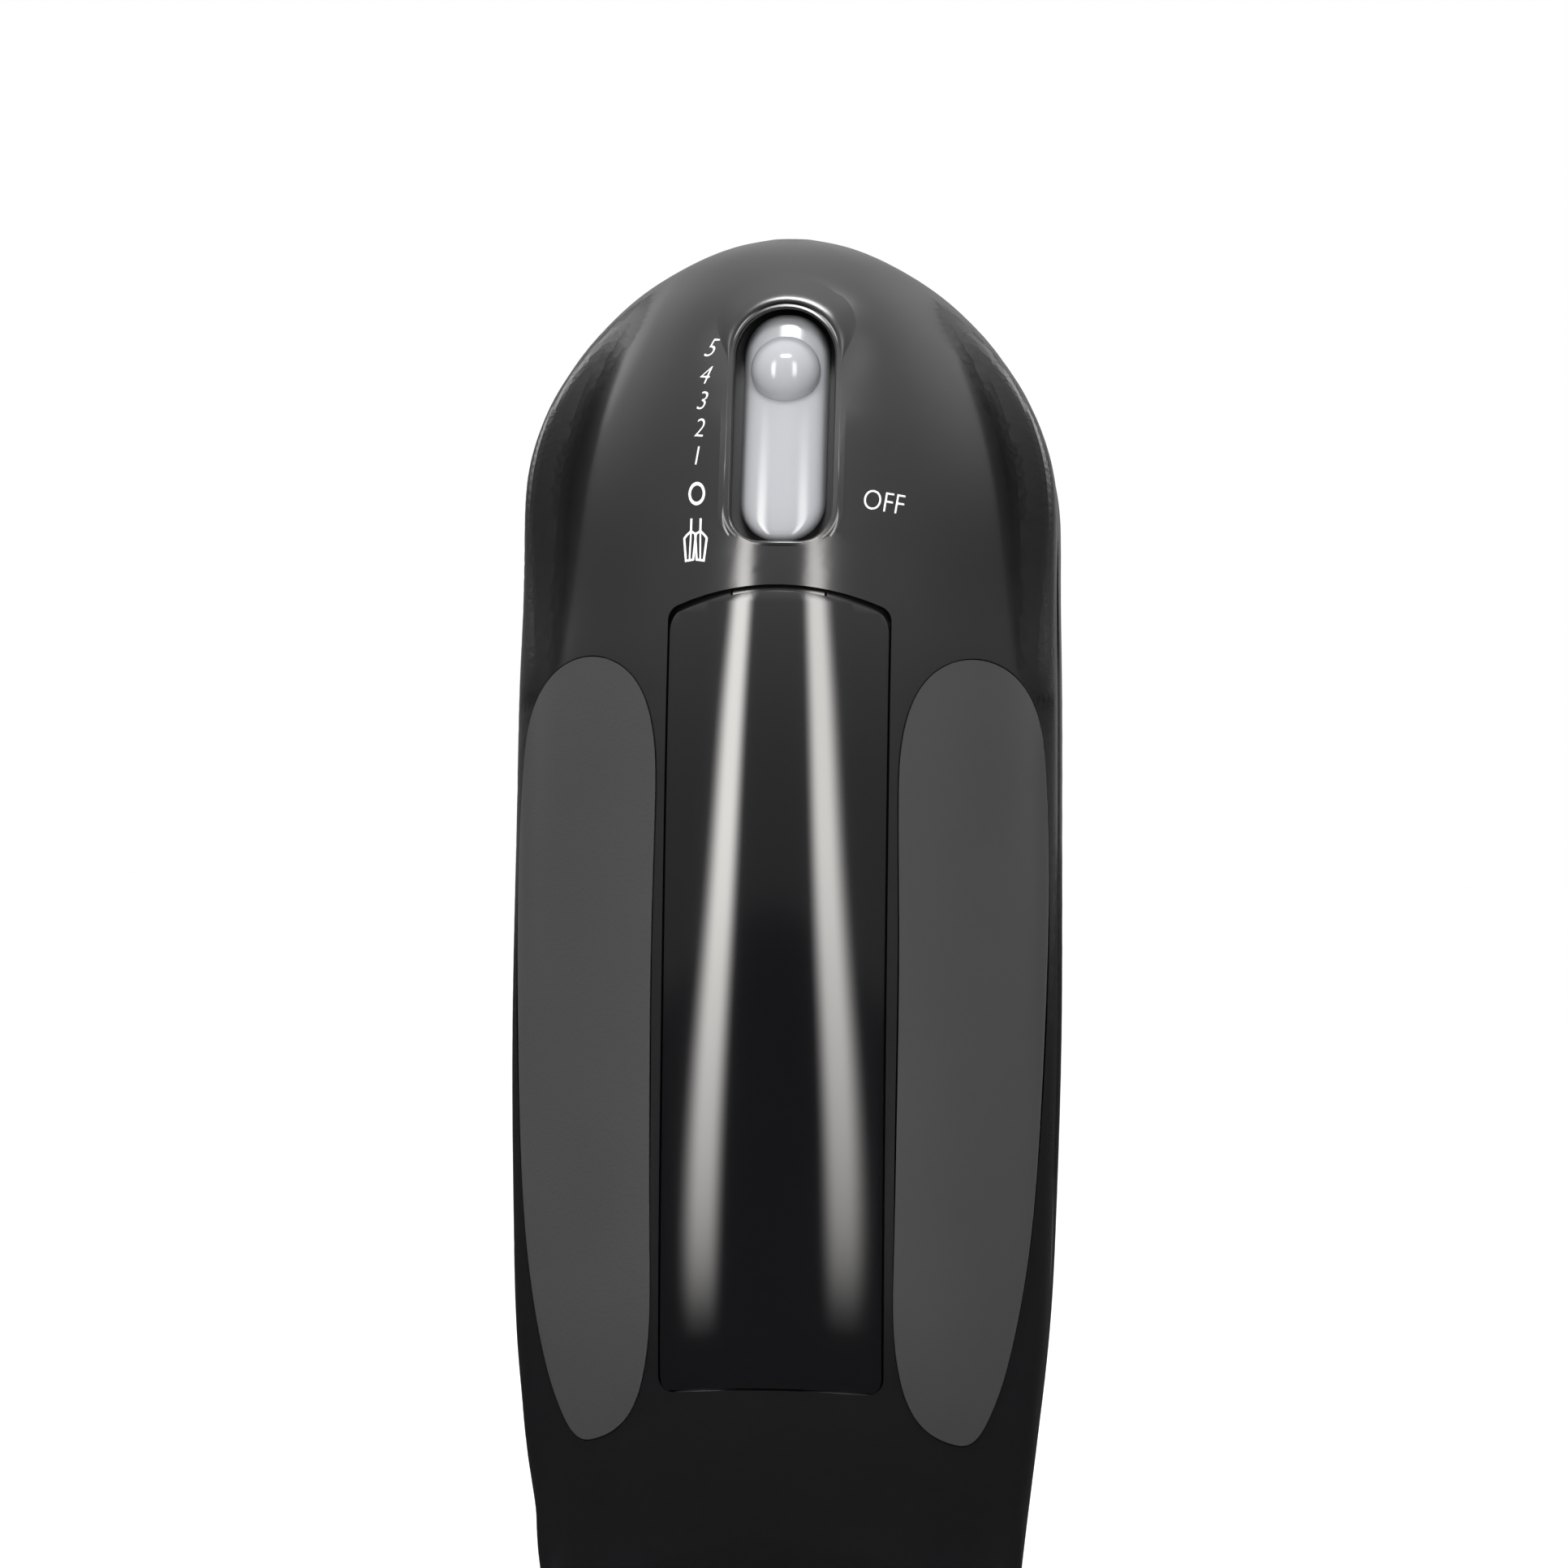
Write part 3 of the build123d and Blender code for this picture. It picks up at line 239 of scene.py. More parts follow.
def striped(name, colour, dark, pitch, axis, metallic, rough, depth):
    """Stacked sheets or laid wire: bands of the given pitch in millimetres along an axis."""
    finish = Finish(name, Metallic=metallic, Coat_Roughness=0.15)
    wander = finish.noise(3.0, 2.0)
    bands = finish.node(
        "TexWave",
        {"wave_type": "BANDS", "bands_direction": axis, "wave_profile": "SIN"},
        {"Vector": finish.place, "Scale": 1 / (pitch * MM) / WAVES_PER_UNIT, "Distortion": 0.4},
    )
    return finish.feed(
        Base_Color=finish.blend(bands * 0.8 + 0.2 * wander, tint(dark), tint(colour)),
        Roughness=rough + 0.15 * wander,
        Normal=finish.bump(bands, depth),
    )


try_out(striped("winding", (0.8, 0.3, 0.1), (0.3, 0.1, 0.0), 0.8, "X", 0.8, 0.25, 0.1))

# %% [markdown]
# ## One finish for each material slot
# The record names a material slot for every node, so the finishes are kept by that name.
# A circuit board needs its own: green lacquer with paler copper tracks under it, which a
# pattern of bricks suggests well enough at its size.


# %% A circuit board
def circuit_board():
    """Green lacquer over tracks; the pattern is turned to lie across the board."""
    finish = Finish("board_green", IOR=1.5, Coat_Weight=0.4, Coat_Roughness=0.2)
    turned = {"Vector": finish.place, "Rotation": (radians(90), 0, 0)}
    tracks = finish.node(
        "TexBrick",
        None,
        {
            "Vector": finish.node("Mapping", None, turned),
            "Scale": 1 / (6.0 * MM),
            "Mortar Size": 0.05,
            "Color1": (0, 0, 0, 1),
            "Color2": (0, 0, 0, 1),
            "Mortar": (1, 1, 1, 1),
        },
    )
    return finish.feed(
        Base_Color=finish.blend(tracks, tint((0.012, 0.11, 0.045)), tint((0.05, 0.24, 0.09))),
        Roughness=0.35 + 0.2 * finish.noise(1.0),
    )


try_out(circuit_board())

# %% [markdown]
# The black plastics have almost no colour of their own. What shows is their gloss, so a
# high index of refraction makes their highlights strong. The slot named collar_white is
# a black nylon here, in spite of its name.

# %% The finishes
SHELL = (0.0052, 0.0047, 0.0054)
INLAY = (0.003, 0.003, 0.0036)
SLIDER = (0.3, 0.305, 0.325)
finishes = {
    "shell_black": moulded("shell_black", SHELL, 0.17, 0.07, 0.0035, 1.4, IOR=1.68),
    "panel_black": moulded("panel_black", INLAY, 0.085, 0.03, 0.0008, 2.6, IOR=1.72),
    "grip_soft": elastomer("grip_soft", (0.023, 0.0225, 0.023), 0.56, 0.42, 0.018, 0.07),
    "foot_rubber": elastomer("foot_rubber", (0.022, 0.022, 0.022), 0.68, 0.8, 0.04, 0.2),
    "gland_rubber": elastomer("gland_rubber", (0.018, 0.018, 0.018), 0.6, 0.5, 0.02, 0.15),
    "screw_steel": metal("screw_steel", (0.55, 0.55, 0.54), 0.3, 0.16, depth=0.006, size=0.4),
    "lamination_steel": striped(
        "lamination_steel", (0.34, 0.34, 0.36), (0.1, 0.1, 0.11), 0.7, "Z", 0.9, 0.38, 0.05
    ),
    "copper_wire": striped(
        "copper_wire", (0.78, 0.29, 0.09), (0.3, 0.09, 0.03), 0.8, "X", 0.8, 0.25, 0.12
    ),
    "commutator_copper": metal("commutator_copper", (0.8, 0.42, 0.24), 0.3, 0.2, (1, 1, 6)),
    "bracket_aluminium": metal(
        "bracket_aluminium", (0.6, 0.61, 0.63), 0.46, 0.2, depth=0.01, size=0.5
    ),
    "bush_bronze": metal("bush_bronze", (0.52, 0.34, 0.16), 0.5, 0.2, depth=0.01, size=0.3),
    "holder_black": moulded("holder_black", (0.02, 0.02, 0.021), 0.5, 0.1, 0.012, 0.6),
    "carbon": moulded("carbon", (0.03, 0.03, 0.031), 0.62, 0.2, 0.02, 0.5, 0.3),
    "spring_steel": metal("spring_steel", (0.5, 0.5, 0.5), 0.26, 0.1),
    "terminal_brass": metal("terminal_brass", (0.78, 0.58, 0.25), 0.28, 0.15),
    "board_green": circuit_board(),
    "sink_aluminium": metal("sink_aluminium", (0.68, 0.69, 0.7), 0.36, 0.2, (1, 6, 1)),
    "capacitor_yellow": moulded("capacitor_yellow", (0.75, 0.5, 0.04), 0.3, 0.08),
    "slider_grey": moulded(
        "slider_grey", SLIDER, 0.1, 0.03, 0.0008, 2.2, 0.02, Coat_Weight=0.3
    ),
    "ejector_white": moulded("ejector_white", (0.7, 0.7, 0.67), 0.42, 0.1, 0.006),
    "shaft_steel": metal("shaft_steel", (0.6, 0.6, 0.61), 0.22, 0.14, (1, 1, 5)),
    "fan_grey": moulded("fan_grey", (0.3, 0.31, 0.32), 0.4, 0.1, 0.006),
    "wheel_nylon": moulded(
        "wheel_nylon", (0.72, 0.69, 0.6), 0.36, 0.1, 0.006, Subsurface_Weight=0.1
    ),
    "beater_chrome": metal(
        "beater_chrome", (0.86, 0.865, 0.875), 0.09, 0.06, (1, 4, 1), 0.0012, 0.5
    ),
    "collar_white": moulded("collar_white", (0.04, 0.04, 0.042), 0.34, 0.1, 0.006),
}
for entry in frame["record"]["subparts"]:
    node = frame["nodes"][entry["node"]]
    node.data.materials.clear()
    node.data.materials.append(finishes[entry["material_slot"]])
print(len(finishes), "finishes on", len(frame["nodes"]), "CAD nodes")

# %% [markdown]
# ## Reading the crown of the grip
# The inlay has to follow the crown exactly, and gloss shows every facet of a copied mesh.
# So rays are dropped on the crown on an even grid, and a smooth polynomial is fitted to
# where they land. Even powers of x keep it symmetric. Points that fell into a gap lie far
# from the first fit and are left out of the second, and a third fit is stricter still.


# %% Rays on to a surface
ABOVE = -120.0  # the rays start this far out on the palm side, and run along +Y


def tree_of(*objects):
    """A search tree over the faces of several objects."""
    points, faces = [], []
    for item in objects:
        first = len(points)
        points += [vert.co / MM for vert in item.data.vertices]
        faces += [[first + i for i in face.vertices] for face in item.data.polygons]
    return BVHTree.FromPolygons(points, faces)


def drop(tree, x, z):
    """The depth at which a ray along +Y meets the tree, or None."""
    hit = tree.ray_cast(Vector((x, ABOVE, z)), Vector((0, 1, 0)))
    return hit[0].y if hit[0] else None


shell = tree_of(*(frame["nodes"][n] for n in ("top_housing", "top_panel", "main_housing")))
print("the crest lies at y =", round(drop(shell, 0.0, 100.0), 2), "half-way up the grip")


# %% A smooth surface fitted to the crown
class Crown:
    """y as a polynomial in x squared and z over a patch of the crown."""

    def __init__(self, tree, half, low, high, across=4, along=9):
        self.half, self.middle, self.span = half, (low + high) / 2, (high - low) / 2
        self.orders = [(i, j) for i in range(across) for j in range(along)]
        spots = [
            (x, z, y)
            for x in np.linspace(-half, half, 41)
            for z in np.linspace(low, high, 121)
            if (y := drop(tree, x, z)) is not None
        ]
        spots = np.array(spots)
        keep = np.ones(len(spots), bool)
        for limit in (0.5, 0.12, 0.05):  # millimetres off the fit before it
            terms = self.terms(spots[:, 0], spots[:, 1])
            self.weights = np.linalg.lstsq(terms[keep], spots[keep, 2], rcond=None)[0]
            error = np.abs(terms @ self.weights - spots[:, 2])
            keep = error < limit
        worst = error[keep].max()
        print(f"crown fit: {keep.sum()} of {len(spots)} points, worst kept {worst:.3f} mm")

    def terms(self, x, z):
        u, v = (np.asarray(x) / self.half) ** 2, (np.asarray(z) - self.middle) / self.span
        return np.stack([u**i * v**j for i, j in self.orders], axis=-1)

    def depth(self, x, z):
        return float(self.terms(x, z) @ self.weights)


grip_crown = Crown(shell, half=15.6, low=43.0, high=156.0)

# %% [markdown]
# ## Softening the shoulders
# Gloss shows more than shape: it shows how the surface turns. On the real shell the crown
# rolls evenly out to the widest line, while the CAD skin has a faint flat band there. The
# band is too shallow to see in outline, so the skin keeps its points and only its normals
# are set anew in a copy.

# %% A copy of the top shell
skin = bpy.data.objects.new("glossy_top_shell", frame["nodes"]["top_housing"].data.copy())
bpy.context.scene.collection.objects.link(skin)
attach(skin, "housing")
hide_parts("top_housing")

corners = np.array([skin.data.vertices[loop.vertex_index].co / MM for loop in skin.data.loops])
normals = np.array([corner.vector for corner in skin.data.corner_normals])
print("top shell:", len(corners), "face corners, each with its own normal")

# %% [markdown]
# Each new normal is a blend of two: the one that the crest has at this height, and the one
# that the outline has. The outline's comes from a polynomial fitted to the square of its
# half width, whose slope says how fast the nose narrows. A sphere mixes its pole and its
# rim in the same way, by how far out a point lies.

# %% Normals that roll evenly
SHOULDER = (140.0, 202.5)  # the heights between which the outline is fitted
LEVEL_STEP, LEVEL_REACH = 1.5, 1.8
NARROWEST = 2.0
CREST_Z, CREST_R, CREST_LIMIT = 120, 200, 0.45  # the crest is an arc seen from the side

across, depth, height = corners.T
levels = np.arange(SHOULDER[0], SHOULDER[1] + 0.5, LEVEL_STEP)
widest = [np.abs(across[np.abs(height - z) < LEVEL_REACH]).max() for z in levels]
outline_fit = np.polynomial.Polynomial.fit(levels, np.square(widest), 6)
on_outline = np.clip(height, *SHOULDER)
half_width = np.sqrt(np.maximum(outline_fit(on_outline), NARROWEST**2))
narrowing = outline_fit.deriv()(on_outline) / (2 * half_width)
out = np.clip(np.abs(across) / half_width, 0, 1)
crest = np.clip((height - CREST_Z) / CREST_R, 0, CREST_LIMIT)
edge = np.stack([np.sign(across), np.zeros(len(out)), -narrowing], axis=1)
edge /= np.linalg.norm(edge, axis=1, keepdims=True)
ridge = np.stack([np.zeros(len(out)), -np.sqrt(1 - crest**2), crest], axis=1)
rolling = ridge * np.sqrt(1 - out**2)[:, None] + edge * out[:, None]
rolling /= np.linalg.norm(rolling, axis=1, keepdims=True)
print("half width at the shoulders, in mm:", round(float(half_width.max()), 1))

# %% [markdown]
# The new normals come in softly: outwards from the crest, upwards from the grip, and only
# on the outer side of the skin. They fade out again before the nose turns under.


# %% Fading the new normals in
def ramp(values, low, high):
    """A smooth rise from 0 at low to 1 at high."""
    share = np.clip((values - low) / (high - low), 0, 1)
    return share * share * (3 - 2 * share)


share = ramp(out, 0.32, 0.74) * ramp(height, 128, 146) * (1 - ramp(height, 196, 202))
share *= ramp(-normals[:, 1], 0.05, 0.3) * ramp(-depth, 44, 48)
mixed = normals * (1 - share)[:, None] + rolling * share[:, None]
skin.data.normals_split_custom_set(mixed / np.linalg.norm(mixed, axis=1, keepdims=True))
print("shoulders: turned", int((share > 0.5).sum()), "of", len(share), "corner normals")

# %% [markdown]
# ## Laying a tile on the crown
# The inlay and the slider are both thin crowned tiles. Each starts as one flat face with
# the real outline. Cutting it with many planes makes a grid that ends exactly at the
# outline. The grid is then pressed on to its curve, extruded downwards and bevelled along
# its upper rim.


# %% From a bmesh to a piece
def to_object(mesh, name, finish):
    """Turns a bmesh in millimetres into an object in metres."""
    bmesh.ops.scale(mesh, vec=(MM, MM, MM), verts=mesh.verts)
    data = bpy.data.meshes.new(name)
    mesh.to_mesh(data)
    mesh.free()
    data.materials.append(finish)
    made = bpy.data.objects.new(name, data)
    bpy.context.scene.collection.objects.link(made)
    return made


def as_piece(mesh, name, slot_name, body, smooth=True):
    """An object that rides on a body and has the finish of a material slot."""
    made = to_object(mesh, name, finishes[slot_name])
    for face in made.data.polygons:
        face.use_smooth = smooth
    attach(made, body)
    return made


# %% A flat face, cut into a grid
def flat_face(outline):
    """A bmesh with one face through points given as x and z."""
    mesh = bmesh.new()
    mesh.faces.new([mesh.verts.new((x, 0, z)) for x, z in outline])
    return mesh


def cut_grid(mesh, step_x, step_z):
    """Cuts a flat mesh by planes across x and across z."""
    for axis, step in ((0, step_x), (2, step_z)):
        low = min(v.co[axis] for v in mesh.verts)
        high = max(v.co[axis] for v in mesh.verts)
        count = max(1, round((high - low) / step))
        for i in range(1, count):
            where, normal = Vector(), Vector()
            where[axis] = low + (high - low) * i / count
            normal[axis] = 1
            geometry = mesh.verts[:] + mesh.edges[:] + mesh.faces[:]
            bmesh.ops.bisect_plane(
                mesh, geom=geometry, dist=1e-5, plane_co=where, plane_no=normal
            )
    bmesh.ops.remove_doubles(mesh, verts=mesh.verts, dist=0.02)


sample = flat_face([(-2, 0), (2, 0), (2, 3), (-2, 3)])
cut_grid(sample, 1.0, 1.0)
print("a face of 4 by 3 mm, cut every millimetre:", len(sample.faces), "faces")


# %% Thickness and a rounded rim
def extrude(mesh, depth):
    """Extrudes all faces along y and returns what was made."""
    made = bmesh.ops.extrude_face_region(mesh, geom=mesh.faces[:])["geom"]
    verts = [item for item in made if isinstance(item, bmesh.types.BMVert)]
    bmesh.ops.translate(mesh, vec=(0, depth, 0), verts=verts)
    return made


def thicken(mesh, depth, rim, steps=3):
    """Extrudes a laid tile downwards and rounds its upper rim."""
    upper = mesh.faces[:]
    lower = extrude(mesh, depth)
    bmesh.ops.recalc_face_normals(mesh, faces=mesh.faces)
    lower_faces = {item for item in lower if isinstance(item, bmesh.types.BMFace)}
    tops = set(upper) if all(face.is_valid for face in upper) else set(mesh.faces) - lower_faces
    rims = [
        edge
        for edge in mesh.edges
        if len(edge.link_faces) == 2
        and sum(face in tops for face in edge.link_faces) == 1
        and not any(face in lower_faces for face in edge.link_faces)
    ]
    bmesh.ops.bevel(
        mesh, geom=rims, offset=rim, segments=steps, profile=0.5, affect="EDGES", material=-1,
        clamp_overlap=True,
    )
    bmesh.ops.recalc_face_normals(mesh, faces=mesh.faces)


def sharpen(made, angle=40):
    """Smooth shading that keeps edges steeper than angle crisp."""
    made.data.set_sharp_from_angle(angle=radians(angle))


thicken(sample, depth=1.0, rim=0.1)
print("the same, 1 mm thick and with a round rim:", len(sample.faces), "faces")
sample.free()

# %% [markdown]
# ## The inlay on the grip
# A strip of high-gloss plastic lies flush in the crown, arched at the front and nearly
# square at the rear. Its reflections are the strongest thing on the mixer, so its surface comes
# straight from the fitted crown.


# %% The inlay
def arc(left, rise, steps):
    """Points from the left corner to its mirror image, bulging by rise in z."""
    half, base = -left[0], left[1]
    shares = [2 * i / steps - 1 for i in range(steps + 1)]
    return [(half * share, base + rise * (1 - share**2)) for share in shares]


FRONT_RISE, REAR_RISE = 3.4, 0.9  # how far the two ends bulge towards the nose


def inlay_outline(front, rear, half_front, half_rear, corner):
    """A flat face with two curved ends and four rounded corners."""
    front_end = arc((-half_front, front), FRONT_RISE, 24)
    rear_end = arc((-half_rear, rear), REAR_RISE, 24)
    mesh = flat_face(front_end + rear_end[::-1])
    middle = (front + rear) / 2
    ends = [
        vert
        for vert in mesh.verts
        if abs(abs(vert.co.x) - (half_front if vert.co.z > middle else half_rear)) < 1e-4
    ]
    bmesh.ops.bevel(
        mesh, geom=ends, offset=corner, segments=6, profile=0.5, affect="VERTICES", material=-1
    )
    return mesh


inlay = inlay_outline(front=150.72, rear=44.72, half_front=15.03, half_rear=15.13, corner=2.3)
cut_grid(inlay, 0.75, 1.5)
for vert in inlay.verts:
    vert.co.y = grip_crown.depth(vert.co.x, vert.co.z)
thicken(inlay, depth=1.15, rim=0.28)
inlay_piece = as_piece(inlay, "gloss_inlay", "panel_black", "housing")
sharpen(inlay_piece)
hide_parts("top_panel")
print("inlay:", len(inlay_piece.data.polygons), "faces")

# %% [markdown]
# ## The lip round the switch
# The slot in the real shell has no raw edge. A soft lip runs round it: it swells a little
# at the front, where the thumb pushes, then rolls over into the slot. It's made as a stack
# of rings with the slot's outline, each at its own distance from the edge and its own
# height, and bridged one to the next.


# %% The slot's outline
SLOT = {"half": 7.2, "rear": 160.7, "front": 193.8, "rear_corner": 4.6, "front_corner": 7.15}


def slot_outline(count=176):
    """Evenly spaced points on the slot's edge, each with its outward direction."""
    points = []
    for sx, sz, start in ((1, -1, -90), (1, 1, 0), (-1, 1, 90), (-1, -1, 180)):
        radius = SLOT["front_corner"] if sz > 0 else SLOT["rear_corner"]
        x = sx * (SLOT["half"] - radius)
        z = SLOT["front"] - radius if sz > 0 else SLOT["rear"] + radius
        for i in range(25):
            turn = radians(start + 90 * i / 24)
            points.append((x + radius * cos(turn), z + radius * sin(turn)))
    points = np.array(points + points[:1])
    run = np.concatenate([[0.0], np.cumsum(np.hypot(*np.diff(points, axis=0).T))])
    at = np.linspace(0, run[-1], count, endpoint=False)
    x, z = np.interp(at, run, points[:, 0]), np.interp(at, run, points[:, 1])
    dx, dz = np.roll(x, -2) - np.roll(x, 2), np.roll(z, -2) - np.roll(z, 2)
    length = np.hypot(dx, dz)
    return list(zip(x, z, dz / length, -dx / length))


def stack_of_rings(rings):
    """Rings with equal numbers of points, bridged in order."""
    mesh = bmesh.new()
    loops = []
    for ring in rings:
        circle = bmesh.ops.create_circle(mesh, cap_ends=False, segments=len(ring), radius=1.0)
        for vert, point in zip(circle["verts"], ring):
            vert.co = point
        loops.append(list({edge for vert in circle["verts"] for edge in vert.link_edges}))
    for low, high in zip(loops, loops[1:]):
        bmesh.ops.bridge_loops(mesh, edges=low + high)
    bmesh.ops.recalc_face_normals(mesh, faces=mesh.faces)
    return mesh


print("slot outline:", len(slot_outline()), "points")

# %% [markdown]
# Each ring is laid on the shell by rays. A ray at the very edge would fall into the slot,
# so it's dropped a little outside. Neighbouring depths are averaged, because the shell's
# own facets would show in the gloss. The swell and the spread come in near the front only.

# %% The slot's lip
# distance outside the slot's edge, height at the sides, height at the front
LIP = [
    (4.4, -0.05, -0.05), (3.8, -0.05, 0.0), (3.1, -0.04, 0.07), (2.5, -0.04, 0.17),
    (1.9, -0.03, 0.27), (1.35, -0.02, 0.32), (0.95, -0.01, 0.3), (0.6, 0.015, 0.22),
    (0.3, 0.03, 0.12), (0.08, 0.02, 0.03), (-0.1, -0.03, -0.06), (-0.22, -0.13, -0.18),
    (-0.28, -0.32, -0.36), (-0.28, -2.25, -2.25),
]
SWELL_FROM, SWELL_OVER = 185.5, 6.5
SNUG, SIDE_SPREAD = 0.7, 0.12  # past SNUG, the sides spread by this share of the front
CLEAR = 0.6  # rays keep this far outside the edge
NEIGHBOURS = 4
top_skin = tree_of(frame["nodes"]["top_housing"])


def eased(value):
    """A smooth rise from 0 to 1."""
    value = min(1.0, max(0.0, value))
    return value * value * (3 - 2 * value)


def lip_ring(grow, plain, swell):
    """One ring: near the front it spreads and rises, along the sides it hugs the slot."""
    depths, places = [], []
    for x, z, nx, nz in slot_outline():
        front = eased((z - SWELL_FROM) / SWELL_OVER)
        spread = SIDE_SPREAD + (1 - SIDE_SPREAD) * front
        reach = grow if grow < SNUG else SNUG + (grow - SNUG) * spread
        sampled = max(reach, CLEAR)
        depths.append(drop(top_skin, x + nx * sampled, z + nz * sampled))
        places.append((x + nx * reach, z + nz * reach, plain + (swell - plain) * front))
    count = len(depths)
    window = range(-NEIGHBOURS, NEIGHBOURS + 1)
    even = [sum(depths[(i + k) % count] for k in window) / len(window) for i in range(count)]
    return [(x, depth - rise, z) for (x, z, rise), depth in zip(places, even)]


lip = stack_of_rings([lip_ring(*row) for row in LIP])
if sum(face.normal.y for face in lip.faces) > 0:
    bmesh.ops.reverse_faces(lip, faces=lip.faces)
lip_piece = as_piece(lip, "slot_lip", "shell_black", "housing")
print("lip:", len(lip_piece.data.polygons), "faces")

# %% [markdown]
# ## The slide switch
# The slider is a long crowned strip of glossy grey plastic with round ends and a dome for
# the thumb. It moves on an arc of 197.2 mm, so its crest follows that arc. The crown falls
# away near the outline, which is worked out from the distance to a rounded rectangle.


# %% The slider's shape
TRACK_Y, TRACK_Z, STRIP_R = 127.7, 120.0, 197.2
STRIP = {"half": 5.9, "rear": 161.0, "front": 192.9, "corner": 5.6}
CROWN_R = 11.0  # how strongly the strip is crowned across
EDGE_WIDTH, EDGE_DROP = 1.3, 1.15


def track(radius, z):
    """The depth of the switch's arc of this radius at height z."""
    return TRACK_Y - sqrt(radius**2 - (z - TRACK_Z) ** 2)


def inside(x, z):
    """How far a point lies inside the slider's outline."""
    middle = (STRIP["rear"] + STRIP["front"]) / 2
    reach = (STRIP["front"] - STRIP["rear"]) / 2 - STRIP["corner"]
    across = max(0.0, abs(x) - (STRIP["half"] - STRIP["corner"]))
    along = max(0.0, abs(z - middle) - reach)
    return STRIP["corner"] - sqrt(across**2 + along**2)


def strip_depth(x, z):
    """The slider's top: crowned across, and rolled over near its edge."""
    crown = STRIP_R - (CROWN_R - sqrt(CROWN_R**2 - x * x))
    edge = max(0.0, 1 - inside(x, z) / EDGE_WIDTH)
    return track(crown, z) + EDGE_DROP * (1 - sqrt(max(0.0, 1 - edge * edge)))


print("the slider's crest is at y =", round(strip_depth(0.0, 177.0), 2), "in its middle")

# %% The slider
outline = []
for corner, (sx, sz) in enumerate(((1, -1), (1, 1), (-1, 1), (-1, -1))):
    cx = sx * (STRIP["half"] - STRIP["corner"])
    cz = STRIP["front"] - STRIP["corner"] if sz > 0 else STRIP["rear"] + STRIP["corner"]
    for i in range(17):
        turn = radians(-90 + 90 * corner + 90 * i / 16)
        outline.append((cx + STRIP["corner"] * cos(turn), cz + STRIP["corner"] * sin(turn)))
strip = flat_face(outline)
cut_grid(strip, 0.4, 0.55)
for vert in strip.verts:
    vert.co.y = strip_depth(vert.co.x, vert.co.z)
thicken(strip, depth=1.9, rim=0.12, steps=2)
strip_piece = as_piece(strip, "slider_strip", "slider_grey", "speed_control")
sharpen(strip_piece, 50)
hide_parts("speed_slider")
print("slider:", len(strip_piece.data.polygons), "faces")

# %% [markdown]
# The thumb's dome is a profile spun about its own axis, a quarter of an ellipse on a short
# foot that sinks into the slider. It's then leant to stand square on the slider's arc.

# %% The thumb dome
DOME_Z, DOME_R, DOME_HEIGHT = 184.9, 4.85, 4.42
SEAT_R = 196.6  # the arc that the dome stands on, a little inside the slider's crest
QUARTER = 14  # steps in the profile's quarter turn
FOOT_TOP, FOOT_END, FOOT_TAPER = -0.8, -1.6, 0.2
dome = bmesh.new()
profile = [(0.0, DOME_HEIGHT)]
for i in range(1, QUARTER + 1):
    turn = radians(90 * i / QUARTER)
    profile.append((DOME_R * sin(turn), DOME_HEIGHT * cos(turn)))
profile += [(DOME_R, FOOT_TOP), (DOME_R - FOOT_TAPER, FOOT_END), (0.0, FOOT_END)]
chain = [dome.verts.new((r, 0, h)) for r, h in profile]
edges = [dome.edges.new(pair) for pair in zip(chain, chain[1:])]
bmesh.ops.spin(
    dome, geom=chain + edges, cent=(0, 0, 0), axis=(0, 0, 1), angle=2 * pi, steps=72, use_merge=True
)
bmesh.ops.remove_doubles(dome, verts=dome.verts, dist=1e-4)
bmesh.ops.recalc_face_normals(dome, faces=dome.faces)
lean = atan2(DOME_Z - TRACK_Z, sqrt(SEAT_R**2 - (DOME_Z - TRACK_Z) ** 2))
upright = Matrix.Rotation(radians(90) - lean, 3, "X")
bmesh.ops.rotate(dome, cent=(0, 0, 0), matrix=upright, verts=dome.verts)
bmesh.ops.translate(dome, vec=(0, track(SEAT_R, DOME_Z), DOME_Z), verts=dome.verts)
dome_piece = as_piece(dome, "thumb_dome", "slider_grey", "speed_control")
sharpen(dome_piece, 60)
print("dome:", len(dome_piece.data.polygons), "faces")

# %% [markdown]
# ## The return springs
# The ejector's springs stand on the gearbox and are pressed shut by the plate. A coil
# can't turn or slide with a joint, so a copy of the springs is made that rides on the
# housing and keeps its length.

# %% The return springs
springs = bpy.data.objects.new("return_springs", frame["nodes"]["eject_springs"].data.copy())
bpy.context.scene.collection.objects.link(springs)
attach(springs, "housing")
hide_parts("eject_springs")
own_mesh(springs)

# %% [markdown]
# ## The rubber foot
# The heel stands on a flat rubber foot. A real one has shallow grooves so that it grips a
# wet worktop. They're steps in a stack of rounded rectangles, made with the same helper as
# the slot's lip.


# %% The foot
def rounded_rectangle(half_x, half_y, corner, steps=8):
    """Points in x and y round a rectangle about the origin."""
    points = []
    for x, y, start in ((1, -1, -90), (1, 1, 0), (-1, 1, 90), (-1, -1, 180)):
        for i in range(steps + 1):
            turn = radians(start + 90 * i / steps)
            across = x * (half_x - corner) + corner * cos(turn)
            points.append((across, y * (half_y - corner) + corner * sin(turn)))
    return points


FOOT_X, FOOT_Y, FOOT_MIDDLE = 22.0, 38.0, 9.0  # half its size, and its middle in y
FOOT_CORNER, LEAST_CORNER = 9.0, 1.5
